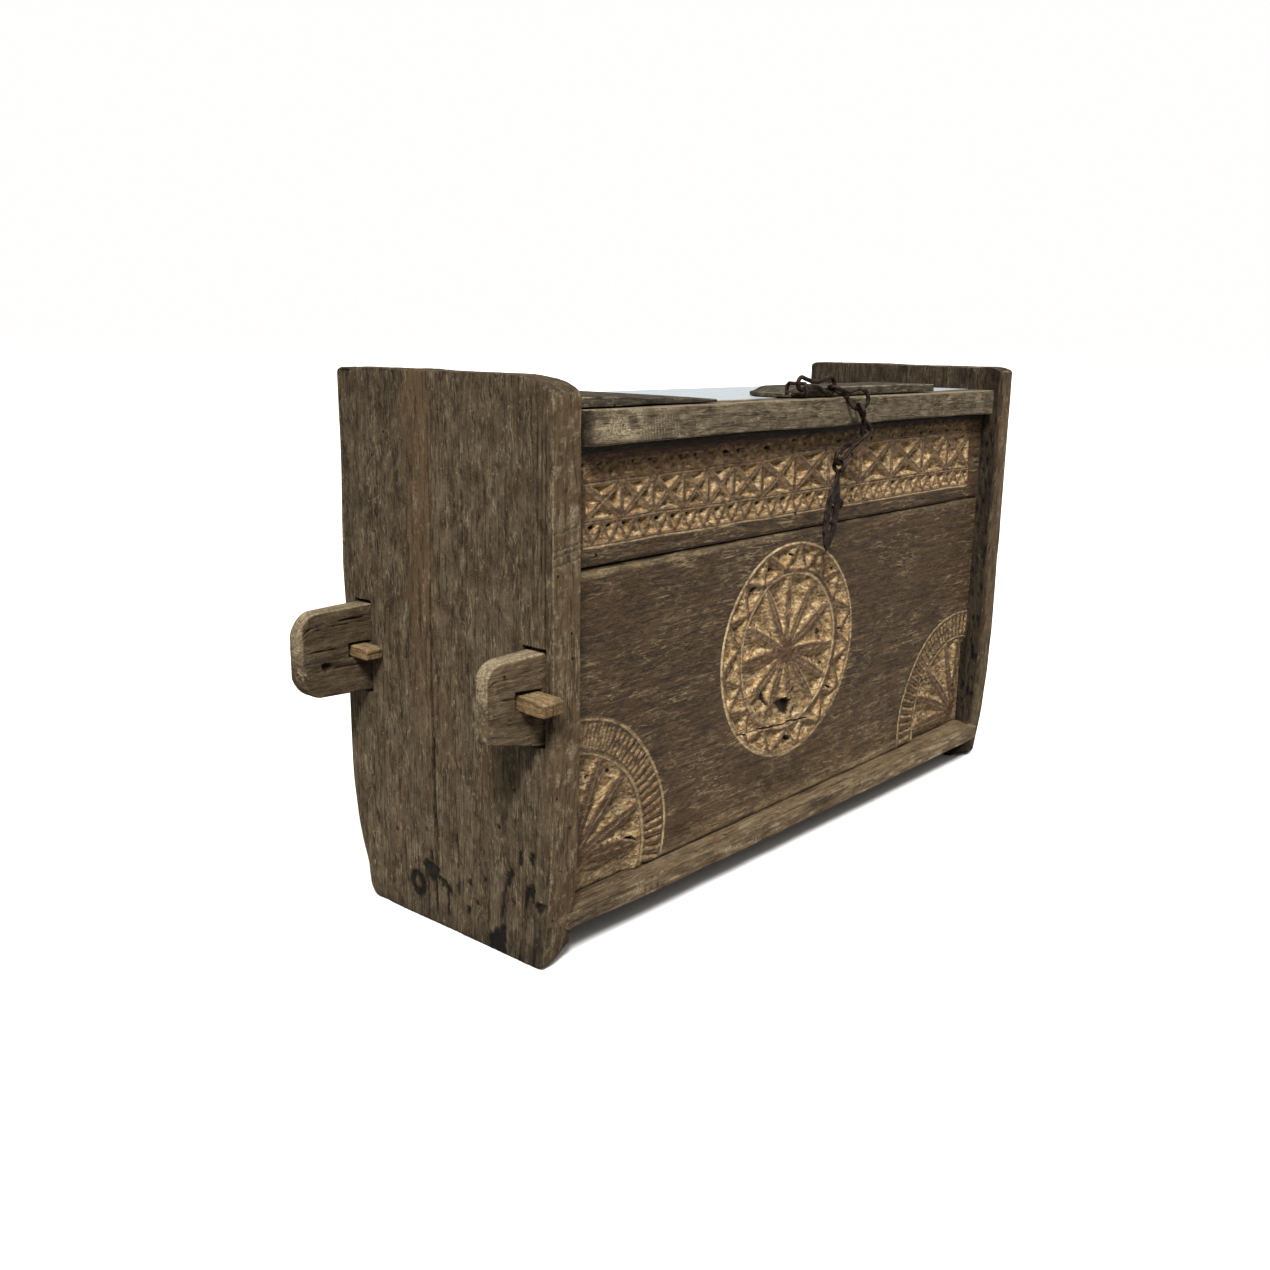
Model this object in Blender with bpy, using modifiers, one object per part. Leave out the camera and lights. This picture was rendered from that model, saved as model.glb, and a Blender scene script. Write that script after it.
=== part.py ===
# Storage chest of hewn boards, with tusked through tenons, a pivoting lid and an iron chain and hasp.
# Metres, +Z up, X along the front, the front faces -Y.
import bpy
import bmesh
from math import cos, pi, radians, sin
from mathutils import Matrix, Vector

# End boards
chest_width = 0.973
end_thickness = 0.041
end_height = 0.606
shoulder_drop = 0.022
shoulder_width = 0.075
end_front = 0.1635
end_back = 0.168
toe_back = 0.018
toe_rise = 0.22
heel_back = 0.030
heel_rise = 0.20
back_corner = 0.010
toe_round = (0.018, 0.013)
heel_round = (0.019, 0.026)
board_edge = 0.0025

# Grooves that hold the front and back boards
groove_depth = 0.012
seat_gap = 0.0003
front_set_back = 0.0245
front_board_thickness = 0.0225
back_set_back = 0.0235
back_board_thickness = 0.0225
grooved_edge = 0.0012
tongue_inset = 0.0004

# Heights of the stacked boards, counted down from the end boards' tops and up from the floor
lid_drop = 0.0338
rail_thickness = 0.0342
back_rail_thickness = 0.0285
frieze_height = 0.1233
sill_bottom = 0.036
sill_height = 0.0265

# Front rail, sill and their ends
rail_proud = 0.020
rail_left_gap = 0.0165
rail_right_gap = 0.0085
rail_edge = 0.008
sill_proud = 0.021
sill_slope = 0.0045
sill_inside = 0.011
sill_edge = 0.003
back_sill_inset = 0.009
back_sill_edge = 0.002
back_rail_width = 0.034

# Floor boards
floor_thickness = 0.018
floor_joint = 0.0020

# Through tenons and their tusk wedges
tenon_thickness = 0.026
tenon_proud = 0.0080
back_tenon_proud = 0.0050
tenon_edge = 0.0015
front_tenon_drop = 0.0742
front_tenon_height = 0.095
front_tenon_reach = 0.0735
front_top_round = (0.024, 0.026)
front_low_round = (0.006, 0.010)
back_tenon_drop = 0.0652
back_tenon_height = 0.099
back_tenon_reach = 0.0935
back_top_round = (0.030, 0.042)
back_low_round = (0.018, 0.040)
mortise_headroom = 0.0025
wedge_width = 0.032
wedge_height = 0.023
wedge_taper = 0.006
wedge_nose = 0.034
wedge_tail = 0.014
wedge_up = 0.046
wedge_edge = 0.0015
back_wedge_width = 0.024
back_wedge_height = 0.018
back_wedge_nose = 0.026
back_wedge_tail = 0.010
back_wedge_up = 0.044
wedge_seat = 0.006

# Small wedges in the flush tenons of the right end
flush_proud = 0.001
flush_round = (0.002, 0.002)
fox_depth = 0.030
fox_thickness = 0.008
fox_point = 0.002
fox_proud = 0.004
fox_edge = 0.0004

# Lid, its pivots and the planks on it
lid_thickness = 0.022
lid_rail_drop = 0.0002
lid_side_gap = 0.0012
lid_front_gap = 0.0020
pivot_from_back = 0.0385
pivot_radius = 0.009
pivot_length = 0.022
pivot_clearance = 0.0006
lid_back_margin = 0.0005
lid_edge = 0.0015
left_plank_length = 0.2485
left_plank_thickness = 0.0080
left_plank_overhang = 0.008
left_plank_back = 0.016
right_plank_start = -0.060
right_plank_length = 0.349
right_plank_depth = 0.079
right_plank_thickness = 0.0118
right_plank_set_back = 0.019
plank_edge = 0.0018

# Staple in the right plank, counted from that plank's left end and front face
staple_radius = 0.0025
staple_in = 0.010
staple_rise = 0.0173
staple_middle = 0.0045
staple_reach = 0.0130
staple_leg_depth = 0.015
staple_foot_depth = 0.008
staple_foot_up = 0.0035
staple_bend = 0.003

# Chain links: a small eye, a waist and a wider eye, bent from one rod
rod_radius = 0.0028
rod_sides = 2
eye_radius = 0.0074
waist_half = 0.0034
eye_open = radians(125)
eye_steps = 6
# Each link: how far right of the staple, behind the rail's face and above the lid its wide eye
# lies, that eye's radius, which way the eye is wide, and which way the next link hangs from it
links = (
    ("chain_link_1", Vector((0.0530, 0.0090, 0.0140)), 0.0105, (0, 0, 1), Vector((1.0, -0.1, -0.35))),
    ("chain_link_2", Vector((0.0925, -0.0100, -0.0022)), 0.0125, (0, 0, 1), Vector((0.25, -0.1, -0.96))),
    ("chain_link_3", Vector((0.1128, -0.0100, -0.0410)), 0.0086, (1, 0, 0), Vector((-0.85, 0.0, -0.53))),
    ("chain_link_4", Vector((0.0550, -0.0100, -0.0707)), 0.0086, (0, 0, 1), Vector((0.0, 0.0, -1.0))),
)
seat_step = 0.0001

# Hasp: a leaf of iron plate with a slot
hasp_thickness = 0.0030
hasp_length = 0.108
hasp_width = 0.031
hasp_lean = radians(11.5)
hasp_edge = 0.0006
neck_half = 0.0028
neck_length = 0.014
slot_width = 0.0085
slot_length = 0.034
slot_drop = 0.048
# Each step down the leaf: a share of its length, and of its full width
leaf = ((0.09, 0.22), (0.19, 0.30), (0.30, 0.62), (0.43, 0.94), (0.56, 1.0), (0.69, 0.96),
        (0.80, 0.82), (0.89, 0.55), (0.96, 0.26))

# Ring staple in the frieze, right of the lid's staple and above the panel
ring_rod = 0.0022
ring_radius = 0.0058
ring_reach = 0.010
ring_leg_depth = 0.014
ring_right = 0.088
ring_up = 0.0262

# Chip carving of the front boards. Places are shares of the inner half width and of the board's height.
star_middle = (-0.0932, 0.5715)
star_hub = (-0.110, 0.566)
star_radii = (0.2278, 0.279)
star_angles = (30, 60, 92, 121, 155, 181, 213, 242, 277, 307, 329, 354)
band_middle = (-0.0864, 0.5715)
band_inner = (0.2413, 0.288)
band_outer = (0.3143, 0.376)
band_teeth = 15
band_turn = 0.38
left_fan = ((-0.9787, 0.1144), (0.2626, 0.333), (-4, 18, 43, 66, 88))
right_fan = ((0.9394, 0.0575), (0.2851, 0.3246), (88, 107, 136, 157, 180))
star_root = 0.16
star_rim = 0.98
star_depth = 0.0055
star_share = 0.80
tooth_depth = 0.0046
tooth_share = 0.78
cell_posts = ((-0.938, 0.675), (-0.809, 0.681), (-0.697, 0.686), (-0.579, 0.692), (-0.484, 0.696),
              (-0.377, 0.701), (-0.254, 0.707), (-0.102, 0.752), (0.067, 0.762), (0.238, 0.772),
              (0.4175, 0.782), (0.606, 0.793), (0.770, 0.785), (0.925, 0.768))
cell_low = 0.378
cell_depth = 0.0058
cell_share = 0.70
row_start = -0.938
row_period = 0.0588
row_teeth = 31
low_row = (0.182, 0.352)
high_row_gap = 0.034
high_row_height = 0.135
row_depth = 0.0034
row_share = 0.66
staple_clear = 0.020
chip_past = 0.0003

# How far a cutter runs past what it cuts
cut_past = 0.010

# Derived places
half = chest_width / 2
inner = half - end_thickness
front_face = end_front - front_set_back
back_face = end_back - back_set_back
rail_front = front_face + rail_proud
front_inside = front_face - front_board_thickness
back_inside = back_face - back_board_thickness
tongue = inner + groove_depth - seat_gap
lid_top = end_height - lid_drop
rail_top = lid_top - lid_rail_drop
rail_bottom = rail_top - rail_thickness
back_rail_top = rail_bottom + back_rail_thickness
frieze_top = rail_bottom - seat_gap
panel_top = frieze_top - frieze_height
sill_top = sill_bottom + sill_height
front_tenon_bottom = panel_top - front_tenon_drop - front_tenon_height
back_tenon_bottom = panel_top - back_tenon_drop - back_tenon_height
front_tenon_face = front_face + tenon_proud
back_tenon_face = back_face + back_tenon_proud
lid_bottom = lid_top - lid_thickness
pivot_y = back_face - pivot_from_back
pivot_z = lid_top - lid_thickness / 2
lid_front = front_inside - lid_front_gap
lid_half = inner - lid_side_gap
plank_low = lid_top + seat_gap
right_plank_front = -rail_front + right_plank_set_back
between_ends = (-inner + 2 * seat_gap, inner - 2 * seat_gap)
staple_bar = Vector((right_plank_start + staple_in, right_plank_front - staple_middle,
                     lid_top + staple_rise))

parts = bpy.data.collections.new("storage_chest")
cutters = bpy.data.collections.new("cutters")


def clear_scene():
    for item in list(bpy.data.objects):
        bpy.data.objects.remove(item, do_unlink=True)
    bpy.context.scene.collection.children.link(parts)
    bpy.context.scene.collection.children.link(cutters)


# Materials

def material(name, colour, roughness, metallic=0.0):
    result = bpy.data.materials.new(name)
    result.use_nodes = True
    shader = result.node_tree.nodes["Principled BSDF"]
    shader.inputs["Base Color"].default_value = (*colour, 1.0)
    shader.inputs["Roughness"].default_value = roughness
    shader.inputs["Metallic"].default_value = metallic
    result.diffuse_color = (*colour, 1.0)
    return result


end_wood = material("weathered_cedar", (0.105, 0.078, 0.050), 0.78)
panel_wood = material("dark_cedar", (0.085, 0.056, 0.032), 0.62)
lid_wood = material("worn_lid_cedar", (0.130, 0.105, 0.080), 0.45)
wedge_wood = material("pale_wedge_wood", (0.330, 0.200, 0.090), 0.70)
iron = material("forged_iron", (0.060, 0.035, 0.026), 0.55, 0.8)


# Shared modelling steps

def add_object(name, mesh, collection=parts, paint=None):
    item = bpy.data.objects.new(name, mesh)
    collection.objects.link(item)
    if paint:
        mesh.materials.append(paint)
    if collection is cutters:
        item.hide_render = True
        item.display_type = "WIRE"
    return item


def box_mesh(name, x_range, y_range, z_range):
    bm = bmesh.new()
    bmesh.ops.create_cube(bm, size=1.0)
    size = Vector((x_range[1] - x_range[0], y_range[1] - y_range[0], z_range[1] - z_range[0]))
    middle = Vector((sum(x_range), sum(y_range), sum(z_range))) / 2
    bmesh.ops.scale(bm, vec=size, verts=bm.verts)
    bmesh.ops.translate(bm, vec=middle, verts=bm.verts)
    mesh = bpy.data.meshes.new(name)
    bm.to_mesh(mesh)
    bm.free()
    return mesh


def prism_mesh(name, outline, start, end, axis):
    """Extrude a closed outline along X or Y; the outline holds the other two coordinates."""
    bm = bmesh.new()
    if axis == "X":
        corners = [bm.verts.new((start, a, b)) for a, b in outline]
        step = Vector((end - start, 0, 0))
    else:
        corners = [bm.verts.new((a, start, b)) for a, b in outline]
        step = Vector((0, end - start, 0))
    face = bm.faces.new(corners)
    grown = bmesh.ops.extrude_face_region(bm, geom=[face])
    moved = [v for v in grown["geom"] if isinstance(v, bmesh.types.BMVert)]
    bmesh.ops.translate(bm, vec=step, verts=moved)
    bmesh.ops.recalc_face_normals(bm, faces=bm.faces)
    mesh = bpy.data.meshes.new(name)
    bm.to_mesh(mesh)
    bm.free()
    return mesh


def bevel(item, width, segments=2, angle=35):
    step = item.modifiers.new("edges", "BEVEL")
    step.width = width
    step.segments = segments
    step.limit_method = "ANGLE"
    step.angle_limit = radians(angle)
    return step


def boolean(item, other, operation="DIFFERENCE"):
    step = item.modifiers.new(operation.lower(), "BOOLEAN")
    step.operation = operation
    step.solver = "EXACT"
    step.object = other
    return step


def cut_box(item, x_range, y_range, z_range):
    name = item.name + "_cut"
    boolean(item, add_object(name, box_mesh(name, x_range, y_range, z_range), cutters))


def quarter(centre, radii, start, steps):
    """Points of a quarter ellipse, from the angle start counterclockwise."""
    for step in range(steps + 1):
        angle = radians(start + 90 * step / steps)
        yield (centre[0] + radii[0] * cos(angle), centre[1] + radii[1] * sin(angle))


# End boards

def end_outline():
    """Side view of an end board: a toe and a heel cut back below, and a crown that falls to the front."""
    toe = (-end_front + toe_back + toe_round[0], toe_round[1])
    heel = (end_back - heel_back - heel_round[0], heel_round[1])
    points = [*quarter(toe, toe_round, 180, 4), *quarter(heel, heel_round, 270, 4)]
    for step in range(1, 6):
        rise = step / 5
        points.append((end_back - heel_back * (1 - rise) ** 2, heel_rise * rise))
    corner = (end_back - back_corner, end_height - back_corner)
    points += quarter(corner, (back_corner, back_corner), 0, 4)
    crown = (-end_front + shoulder_width, end_height - shoulder_drop)
    points += quarter(crown, (shoulder_width, shoulder_drop), 90, 8)
    for step in range(5):
        rise = 1 - step / 5
        points.append((-end_front + toe_back * (1 - rise) ** 2, toe_rise * rise))
    return points


def end_board(name, side):
    outer = side * half
    mesh = prism_mesh(name, end_outline(), min(outer, side * inner), max(outer, side * inner), "X")
    item = add_object(name, mesh, paint=end_wood)
    bevel(item, board_edge)
    deep = side * (inner + groove_depth)
    open_side = side * (inner - cut_past)
    far_side = side * (half + cut_past)
    groove = (min(deep, open_side), max(deep, open_side))
    through = (min(open_side, far_side), max(open_side, far_side))
    gap = seat_gap
    cut_box(item, groove, (-front_face - gap, -front_inside + gap), (sill_bottom - gap, rail_top + gap))
    cut_box(item, groove, (back_inside - gap, back_face + gap), (sill_bottom - gap, back_rail_top + gap))
    floor_top = sill_top + floor_thickness + 2 * gap
    cut_box(item, groove, (-front_inside - gap, back_inside + gap), (sill_top, floor_top))
    low = front_tenon_bottom
    high = low + front_tenon_height + mortise_headroom
    front_mortise = (-front_tenon_face - gap, -front_tenon_face + tenon_thickness + gap)
    cut_box(item, through, front_mortise, (low - gap, high))
    low = back_tenon_bottom
    high = low + back_tenon_height + mortise_headroom
    back_mortise = (back_tenon_face - tenon_thickness - gap, back_tenon_face + gap)
    cut_box(item, through, back_mortise, (low - gap, high))
    pivot_hole(item, side)
    return item


def cylinder_mesh(name, radius, x_range, centre, sides):
    bm = bmesh.new()
    length = x_range[1] - x_range[0]
    bmesh.ops.create_cone(bm, cap_ends=True, segments=sides, radius1=radius, radius2=radius, depth=length)
    bmesh.ops.rotate(bm, matrix=Matrix.Rotation(pi / 2, 3, "Y"), verts=bm.verts)
    bmesh.ops.translate(bm, vec=(sum(x_range) / 2, *centre), verts=bm.verts)
    mesh = bpy.data.meshes.new(name)
    bm.to_mesh(mesh)
    bm.free()
    return mesh


def pivot_hole(item, side):
    reach = side * (lid_half + pivot_length + pivot_clearance)
    start = side * (inner - cut_past)
    span = (min(reach, start), max(reach, start))
    name = item.name + "_socket"
    mesh = cylinder_mesh(name, pivot_radius + pivot_clearance, span, (pivot_y, pivot_z), 24)
    boolean(item, add_object(name, mesh, cutters))


# Boards of the front and the back

def plain_board(name, y_range, z_range, paint):
    item = add_object(name, box_mesh(name, (-tongue, tongue), y_range, z_range), paint=paint)
    bevel(item, grooved_edge, 1)
    return item


def tenon_outline(side, bottom, height, reach, top_round, low_round):
    """Front view of a tenon: from inside the board out to a rounded nose."""
    root = inner - seat_gap
    nose = half + reach
    top = bottom + height
    points = [(root, top), (root, bottom)]
    points += quarter((nose - low_round[0], bottom + low_round[1]), low_round, 270, 4)
    points += quarter((nose - top_round[0], top - top_round[1]), top_round, 0, 6)
    return [(side * x, z) for x, z in points]


def add_tenon(board, side, y_range, bottom, height, reach, top_round, low_round):
    name = board.name + ("_left_tenon" if side < 0 else "_right_tenon")
    outline = tenon_outline(side, bottom, height, reach, top_round, low_round)
    tenon = add_object(name, prism_mesh(name, outline, y_range[0], y_range[1], "Y"), cutters)
    bevel(tenon, tenon_edge, 1)
    boolean(board, tenon, "UNION")


def tenoned_board(name, y_range, tenon_y, bottom, height, reach, rounds, wedge):
    board = plain_board(name, y_range, (sill_top + seat_gap, panel_top), panel_wood)
    add_tenon(board, -1, tenon_y, bottom, height, reach, *rounds)
    add_tenon(board, 1, tenon_y, bottom, height, flush_proud, flush_round, flush_round)
    width, tall, middle = wedge
    slot_x = (-half - width - seat_gap, -half + wedge_seat)
    slot_z = (middle - tall / 2 - seat_gap, middle + tall / 2 + seat_gap)
    cut_box(board, slot_x, (tenon_y[0] - cut_past, tenon_y[1] + cut_past), slot_z)
    return board


def tusk_wedge(name, y_front, y_back, width, tall, middle):
    """A bar across the tenon, snug at its head and thinner towards its tail."""
    near = -half - seat_gap
    outline = [(near, y_front), (near, y_back), (near - width + wedge_taper, y_back), (near - width, y_front)]
    bm = bmesh.new()
    corners = [bm.verts.new((x, y, middle - tall / 2)) for x, y in outline]
    grown = bmesh.ops.extrude_face_region(bm, geom=[bm.faces.new(corners)])
    top = [v for v in grown["geom"] if isinstance(v, bmesh.types.BMVert)]
    bmesh.ops.translate(bm, vec=(0, 0, tall), verts=top)
    bmesh.ops.recalc_face_normals(bm, faces=bm.faces)
    mesh = bpy.data.meshes.new(name)
    bm.to_mesh(mesh)
    bm.free()
    bevel(add_object(name, mesh, paint=wedge_wood), wedge_edge)


def fox_wedge(name, board, tenon_y, middle):
    """A small wedge driven into a kerf in the end of a flush tenon."""
    end = half + flush_proud
    deep = end - fox_depth
    narrow = fox_point / 2 + seat_gap
    wide = fox_thickness / 2 + 2 * seat_gap
    kerf = [(deep - seat_gap, middle - narrow), (end + cut_past, middle - wide),
            (end + cut_past, middle + wide), (deep - seat_gap, middle + narrow)]
    cut = prism_mesh(name + "_kerf", kerf, tenon_y[0] - cut_past, tenon_y[1] + cut_past, "Y")
    boolean(board, add_object(name + "_kerf", cut, cutters))
    outer = end + fox_proud
    shape = [(deep, middle - fox_point / 2), (outer, middle - fox_thickness / 2),
             (outer, middle + fox_thickness / 2), (deep, middle + fox_point / 2)]
    mesh = prism_mesh(name, shape, tenon_y[0] + seat_gap, tenon_y[1] - seat_gap, "Y")
    bevel(add_object(name, mesh, paint=wedge_wood), fox_edge, 1)


def stepped_board(name, y_front, y_back, tongue_y, z_range, ends, paint, edge, slope=0.0):
    """A board that stands proud of the front, with a tongue at each end for the groove."""
    body = add_object(name, box_mesh(name, ends, (y_front, y_back), z_range), paint=paint)
    if slope:
        for vertex in body.data.vertices:
            if vertex.co.y < (y_front + y_back) / 2 and vertex.co.z > sum(z_range) / 2:
                vertex.co.z -= slope
    bevel(body, edge, 3)
    tongue_z = (z_range[0] + tongue_inset, z_range[1] - tongue_inset)
    bar = box_mesh(name + "_tongue", (-tongue, tongue), tongue_y, tongue_z)
    boolean(body, add_object(name + "_tongue", bar, cutters), "UNION")


# Chip carving

def polar(middle, radii, degrees, share=1.0):
    angle = radians(degrees)
    return (middle[0] + radii[0] * share * cos(angle), middle[1] + radii[1] * share * sin(angle))


def star_chips(hub, middle, radii, angles):
    """Kite-shaped chips between neighbouring spears that run from a hub out to a ring."""
    for first, second in zip(angles, angles[1:]):
        between = (first + second) / 2
        root = polar(hub, radii, between, star_root)
        rim = [polar(middle, radii, degrees, star_rim) for degrees in (first, between, second)]
        yield [root] + rim


def band_chips():
    """Triangular chips on both sides of a zigzag that runs round the star."""
    step = 360 / band_teeth
    for number in range(band_teeth):
        start = (number - band_turn) * step
        outward = [polar(band_middle, band_inner, start + turn * step) for turn in (-0.5, 0.5)]
        yield outward + [polar(band_middle, band_outer, start)]
        inward = [polar(band_middle, band_outer, start + turn * step) for turn in (0, 1)]
        yield inward + [polar(band_middle, band_inner, start + 0.5 * step)]


def cell_chips():
    """Four triangular chips in each cell of the frieze, left by its crossed ridges."""
    for (left, left_top), (right, right_top) in zip(cell_posts, cell_posts[1:]):
        corners = [(left, cell_low), (right, cell_low), (right, right_top), (left, left_top)]
        middle = ((left + right) / 2, (cell_low + (left_top + right_top) / 2) / 2)
        for number in range(4):
            yield [corners[number], corners[(number + 1) % 4], middle]


def cell_top(place):
    """Height of the cells' upper line at a place along the frieze."""
    for (left, left_top), (right, right_top) in zip(cell_posts, cell_posts[1:]):
        if place <= right:
            break
    return left_top + (right_top - left_top) * (place - left) / (right - left)


def row_chips(staple):
    """Triangular chips on both sides of a zigzag, in a row below the cells and one above them."""
    for number in range(row_teeth):
        low_start = row_start + number * row_period
        base = cell_top(low_start + row_period / 4) + high_row_gap
        high_row = (base, base + high_row_height)
        for start, (low, high) in ((low_start, low_row), (low_start - row_period / 2, high_row)):
            if low == low_row[0] and abs((start + 0.75 * row_period) * inner - staple) < staple_clear:
                continue
            if start < row_start:
                continue
            after = start + row_period / 2
            yield [(start, low), (start + row_period, low), (after, high)]
            yield [(after, high), (after + row_period, high), (start + row_period, low)]


def carve(board, z_range, chips):
    """Cut chips into a board's front, each a pyramid with its point in the wood."""
    bm = bmesh.new()
    for outline, share, depth in chips:
        places = [Vector((x * inner, 0, z_range[0] + z * (z_range[1] - z_range[0]))) for x, z in outline]
        point = sum(places, Vector()) / len(places)
        grow = share * (1 + chip_past / depth)
        point.y = -front_face
        corners = [point + (place - Vector((point.x, 0, point.z))) * grow for place in places]
        face = bm.faces.new([bm.verts.new(corner - Vector((0, chip_past, 0))) for corner in corners])
        grown = bmesh.ops.extrude_face_region(bm, geom=[face], use_keep_orig=True)
        tip = [part for part in grown["geom"] if isinstance(part, bmesh.types.BMVert)]
        bmesh.ops.pointmerge(bm, verts=tip, merge_co=point + Vector((0, depth, 0)))
    bmesh.ops.recalc_face_normals(bm, faces=bm.faces)
    name = board.name + "_chips"
    mesh = bpy.data.meshes.new(name)
    bm.to_mesh(mesh)
    bm.free()
    boolean(board, add_object(name, mesh, cutters))


def carve_front(panel, frieze):
    closed = star_angles + (star_angles[0] + 360,)
    stars = list(star_chips(star_hub, star_middle, star_radii, closed))
    for middle, radii, angles in (left_fan, right_fan):
        stars += star_chips(middle, middle, radii, angles)
    chips = [(outline, star_share, star_depth) for outline in stars]
    chips += [(outline, tooth_share, tooth_depth) for outline in band_chips()]
    carve(panel, (sill_top + seat_gap, panel_top), chips)
    chips = [(outline, cell_share, cell_depth) for outline in cell_chips()]
    chips += [(outline, row_share, row_depth) for outline in row_chips(staple_bar.x + ring_right)]
    carve(frieze, (panel_top + seat_gap, frieze_top), chips)


def front_boards():
    thick = (-front_face, -front_inside)
    tenon_y = (-front_tenon_face, -front_tenon_face + tenon_thickness)
    middle = front_tenon_bottom + wedge_up
    rounds = (front_top_round, front_low_round)
    panel = tenoned_board("front_panel", thick, tenon_y, front_tenon_bottom, front_tenon_height,
                          front_tenon_reach, rounds, (wedge_width, wedge_height, middle))
    tusk_wedge("front_left_wedge", tenon_y[0] - wedge_nose, tenon_y[1] + wedge_tail,
               wedge_width, wedge_height, middle)
    fox_wedge("front_right_wedge", panel, tenon_y, middle)
    frieze = plain_board("frieze_board", thick, (panel_top + seat_gap, frieze_top), panel_wood)
    carve_front(panel, frieze)
    stepped_board("front_top_rail", -rail_front, -front_inside, thick, (rail_bottom, rail_top),
                  (-inner + rail_left_gap, inner - rail_right_gap), end_wood, rail_edge)
    stepped_board("front_sill", -front_face - sill_proud, -front_inside + sill_inside, thick,
                  (sill_bottom, sill_top), between_ends, end_wood, sill_edge, sill_slope)


def back_boards():
    thick = (back_inside, back_face)
    tenon_y = (back_tenon_face - tenon_thickness, back_tenon_face)
    middle = back_tenon_bottom + back_wedge_up
    rounds = (back_top_round, back_low_round)
    panel = tenoned_board("back_panel", thick, tenon_y, back_tenon_bottom, back_tenon_height,
                          back_tenon_reach, rounds, (back_wedge_width, back_wedge_height, middle))
    tusk_wedge("back_left_wedge", tenon_y[0] - back_wedge_nose, tenon_y[1] + back_wedge_tail,
               back_wedge_width, back_wedge_height, middle)
    fox_wedge("back_right_wedge", panel, tenon_y, middle)
    plain_board("back_upper_board", thick, (panel_top + seat_gap, frieze_top), end_wood)
    stepped_board("back_top_rail", back_inside, back_inside + back_rail_width, thick,
                  (rail_bottom, back_rail_top), between_ends, end_wood, sill_edge)
    sill_back = back_face - back_sill_inset
    stepped_board("back_sill", back_inside - sill_inside, sill_back, (back_inside, sill_back),
                  (sill_bottom, sill_top), between_ends, end_wood, back_sill_edge)


def floor_boards():
    front = -front_inside + seat_gap
    back = back_inside - seat_gap
    middle = (front + back) / 2
    level = (sill_top + seat_gap, sill_top + seat_gap + floor_thickness)
    for name, y_range in (("floor_board_front", (front, middle - floor_joint / 2)),
                          ("floor_board_back", (middle + floor_joint / 2, back))):
        plain_board(name, y_range, level, end_wood)


# Lid

def lid_outline():
    """Side view of the lid board, with its back edge round about the pivot."""
    radius = lid_thickness / 2 + lid_back_margin
    points = [(pivot_y, lid_top), (-lid_front, lid_top), (-lid_front, lid_bottom), (pivot_y, lid_bottom)]
    for step in range(1, 12):
        angle = -pi / 2 + pi * step / 12
        points.append((pivot_y + radius * cos(angle), pivot_z + lid_thickness / 2 * sin(angle)))
    return points


def lid():
    """The lid board turns on a round pin at each end; both planks are fixed on it."""
    mesh = prism_mesh("lid_board", lid_outline(), -lid_half, lid_half, "X")
    board = add_object("lid_board", mesh, paint=lid_wood)
    bevel(board, lid_edge, 1, 60)
    span = (-lid_half - pivot_length, lid_half + pivot_length)
    pin = cylinder_mesh("lid_pivots", pivot_radius, span, (pivot_y, pivot_z), 24)
    boolean(board, add_object("lid_pivots", pin, cutters), "UNION")
    left_y = (-front_face - left_plank_overhang, pivot_y - left_plank_back)
    left_mesh = box_mesh("lid_left_plank", (-lid_half, -lid_half + left_plank_length), left_y,
                         (plank_low, plank_low + left_plank_thickness))
    left = add_object("lid_left_plank", left_mesh, paint=end_wood)
    right_y = (right_plank_front, right_plank_front + right_plank_depth)
    right_mesh = box_mesh("lid_right_plank", (right_plank_start, right_plank_start + right_plank_length),
                          right_y, (plank_low, plank_low + right_plank_thickness))
    right = add_object("lid_right_plank", right_mesh, paint=end_wood)
    bevel(left, plank_edge)
    bevel(right, plank_edge)
    for piece in (board, left, right, lid_staple(right)):
        set_origin(piece, Vector((0, pivot_y, pivot_z)))


# Iron work

def tube(name, points, radius, closed, collection=parts, paint=iron):
    curve = bpy.data.curves.new(name, "CURVE")
    curve.dimensions = "3D"
    curve.bevel_depth = radius
    curve.bevel_resolution = rod_sides
    curve.use_fill_caps = not closed
    spline = curve.splines.new("POLY")
    spline.points.add(len(points) - 1)
    for target, point in zip(spline.points, points):
        target.co = (*point, 1.0)
    spline.use_cyclic_u = closed
    holder = bpy.data.objects.new(name + "_path", curve)
    bpy.context.scene.collection.objects.link(holder)
    bpy.context.view_layer.update()
    mesh = bpy.data.meshes.new_from_object(holder.evaluated_get(bpy.context.evaluated_depsgraph_get()))
    bpy.data.objects.remove(holder, do_unlink=True)
    bm = bmesh.new()
    bm.from_mesh(mesh)
    bmesh.ops.remove_doubles(bm, verts=bm.verts, dist=0.00005)
    bmesh.ops.recalc_face_normals(bm, faces=bm.faces)
    bm.to_mesh(mesh)
    bm.free()
    mesh.materials.clear()
    mesh.shade_smooth()
    return add_object(name, mesh, collection, paint)


def set_origin(item, place):
    item.data.transform(Matrix.Translation(-place))
    item.location = place


def staple_points():
    """Centreline of the lid's staple, from the plank up, over its bar and down to the front foot."""
    top = staple_bar.z
    rear = right_plank_front + staple_leg_depth
    reach = right_plank_front - staple_reach
    foot = plank_low + staple_foot_up
    side_view = [(rear, foot), (rear, top - staple_bend), (rear - staple_bend, top),
                 (reach + staple_bend, top), (reach, top - staple_bend), (reach, foot + staple_bend),
                 (reach + staple_bend, foot), (right_plank_front + staple_foot_depth, foot)]
    return [Vector((staple_bar.x, y, z)) for y, z in side_view]


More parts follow.
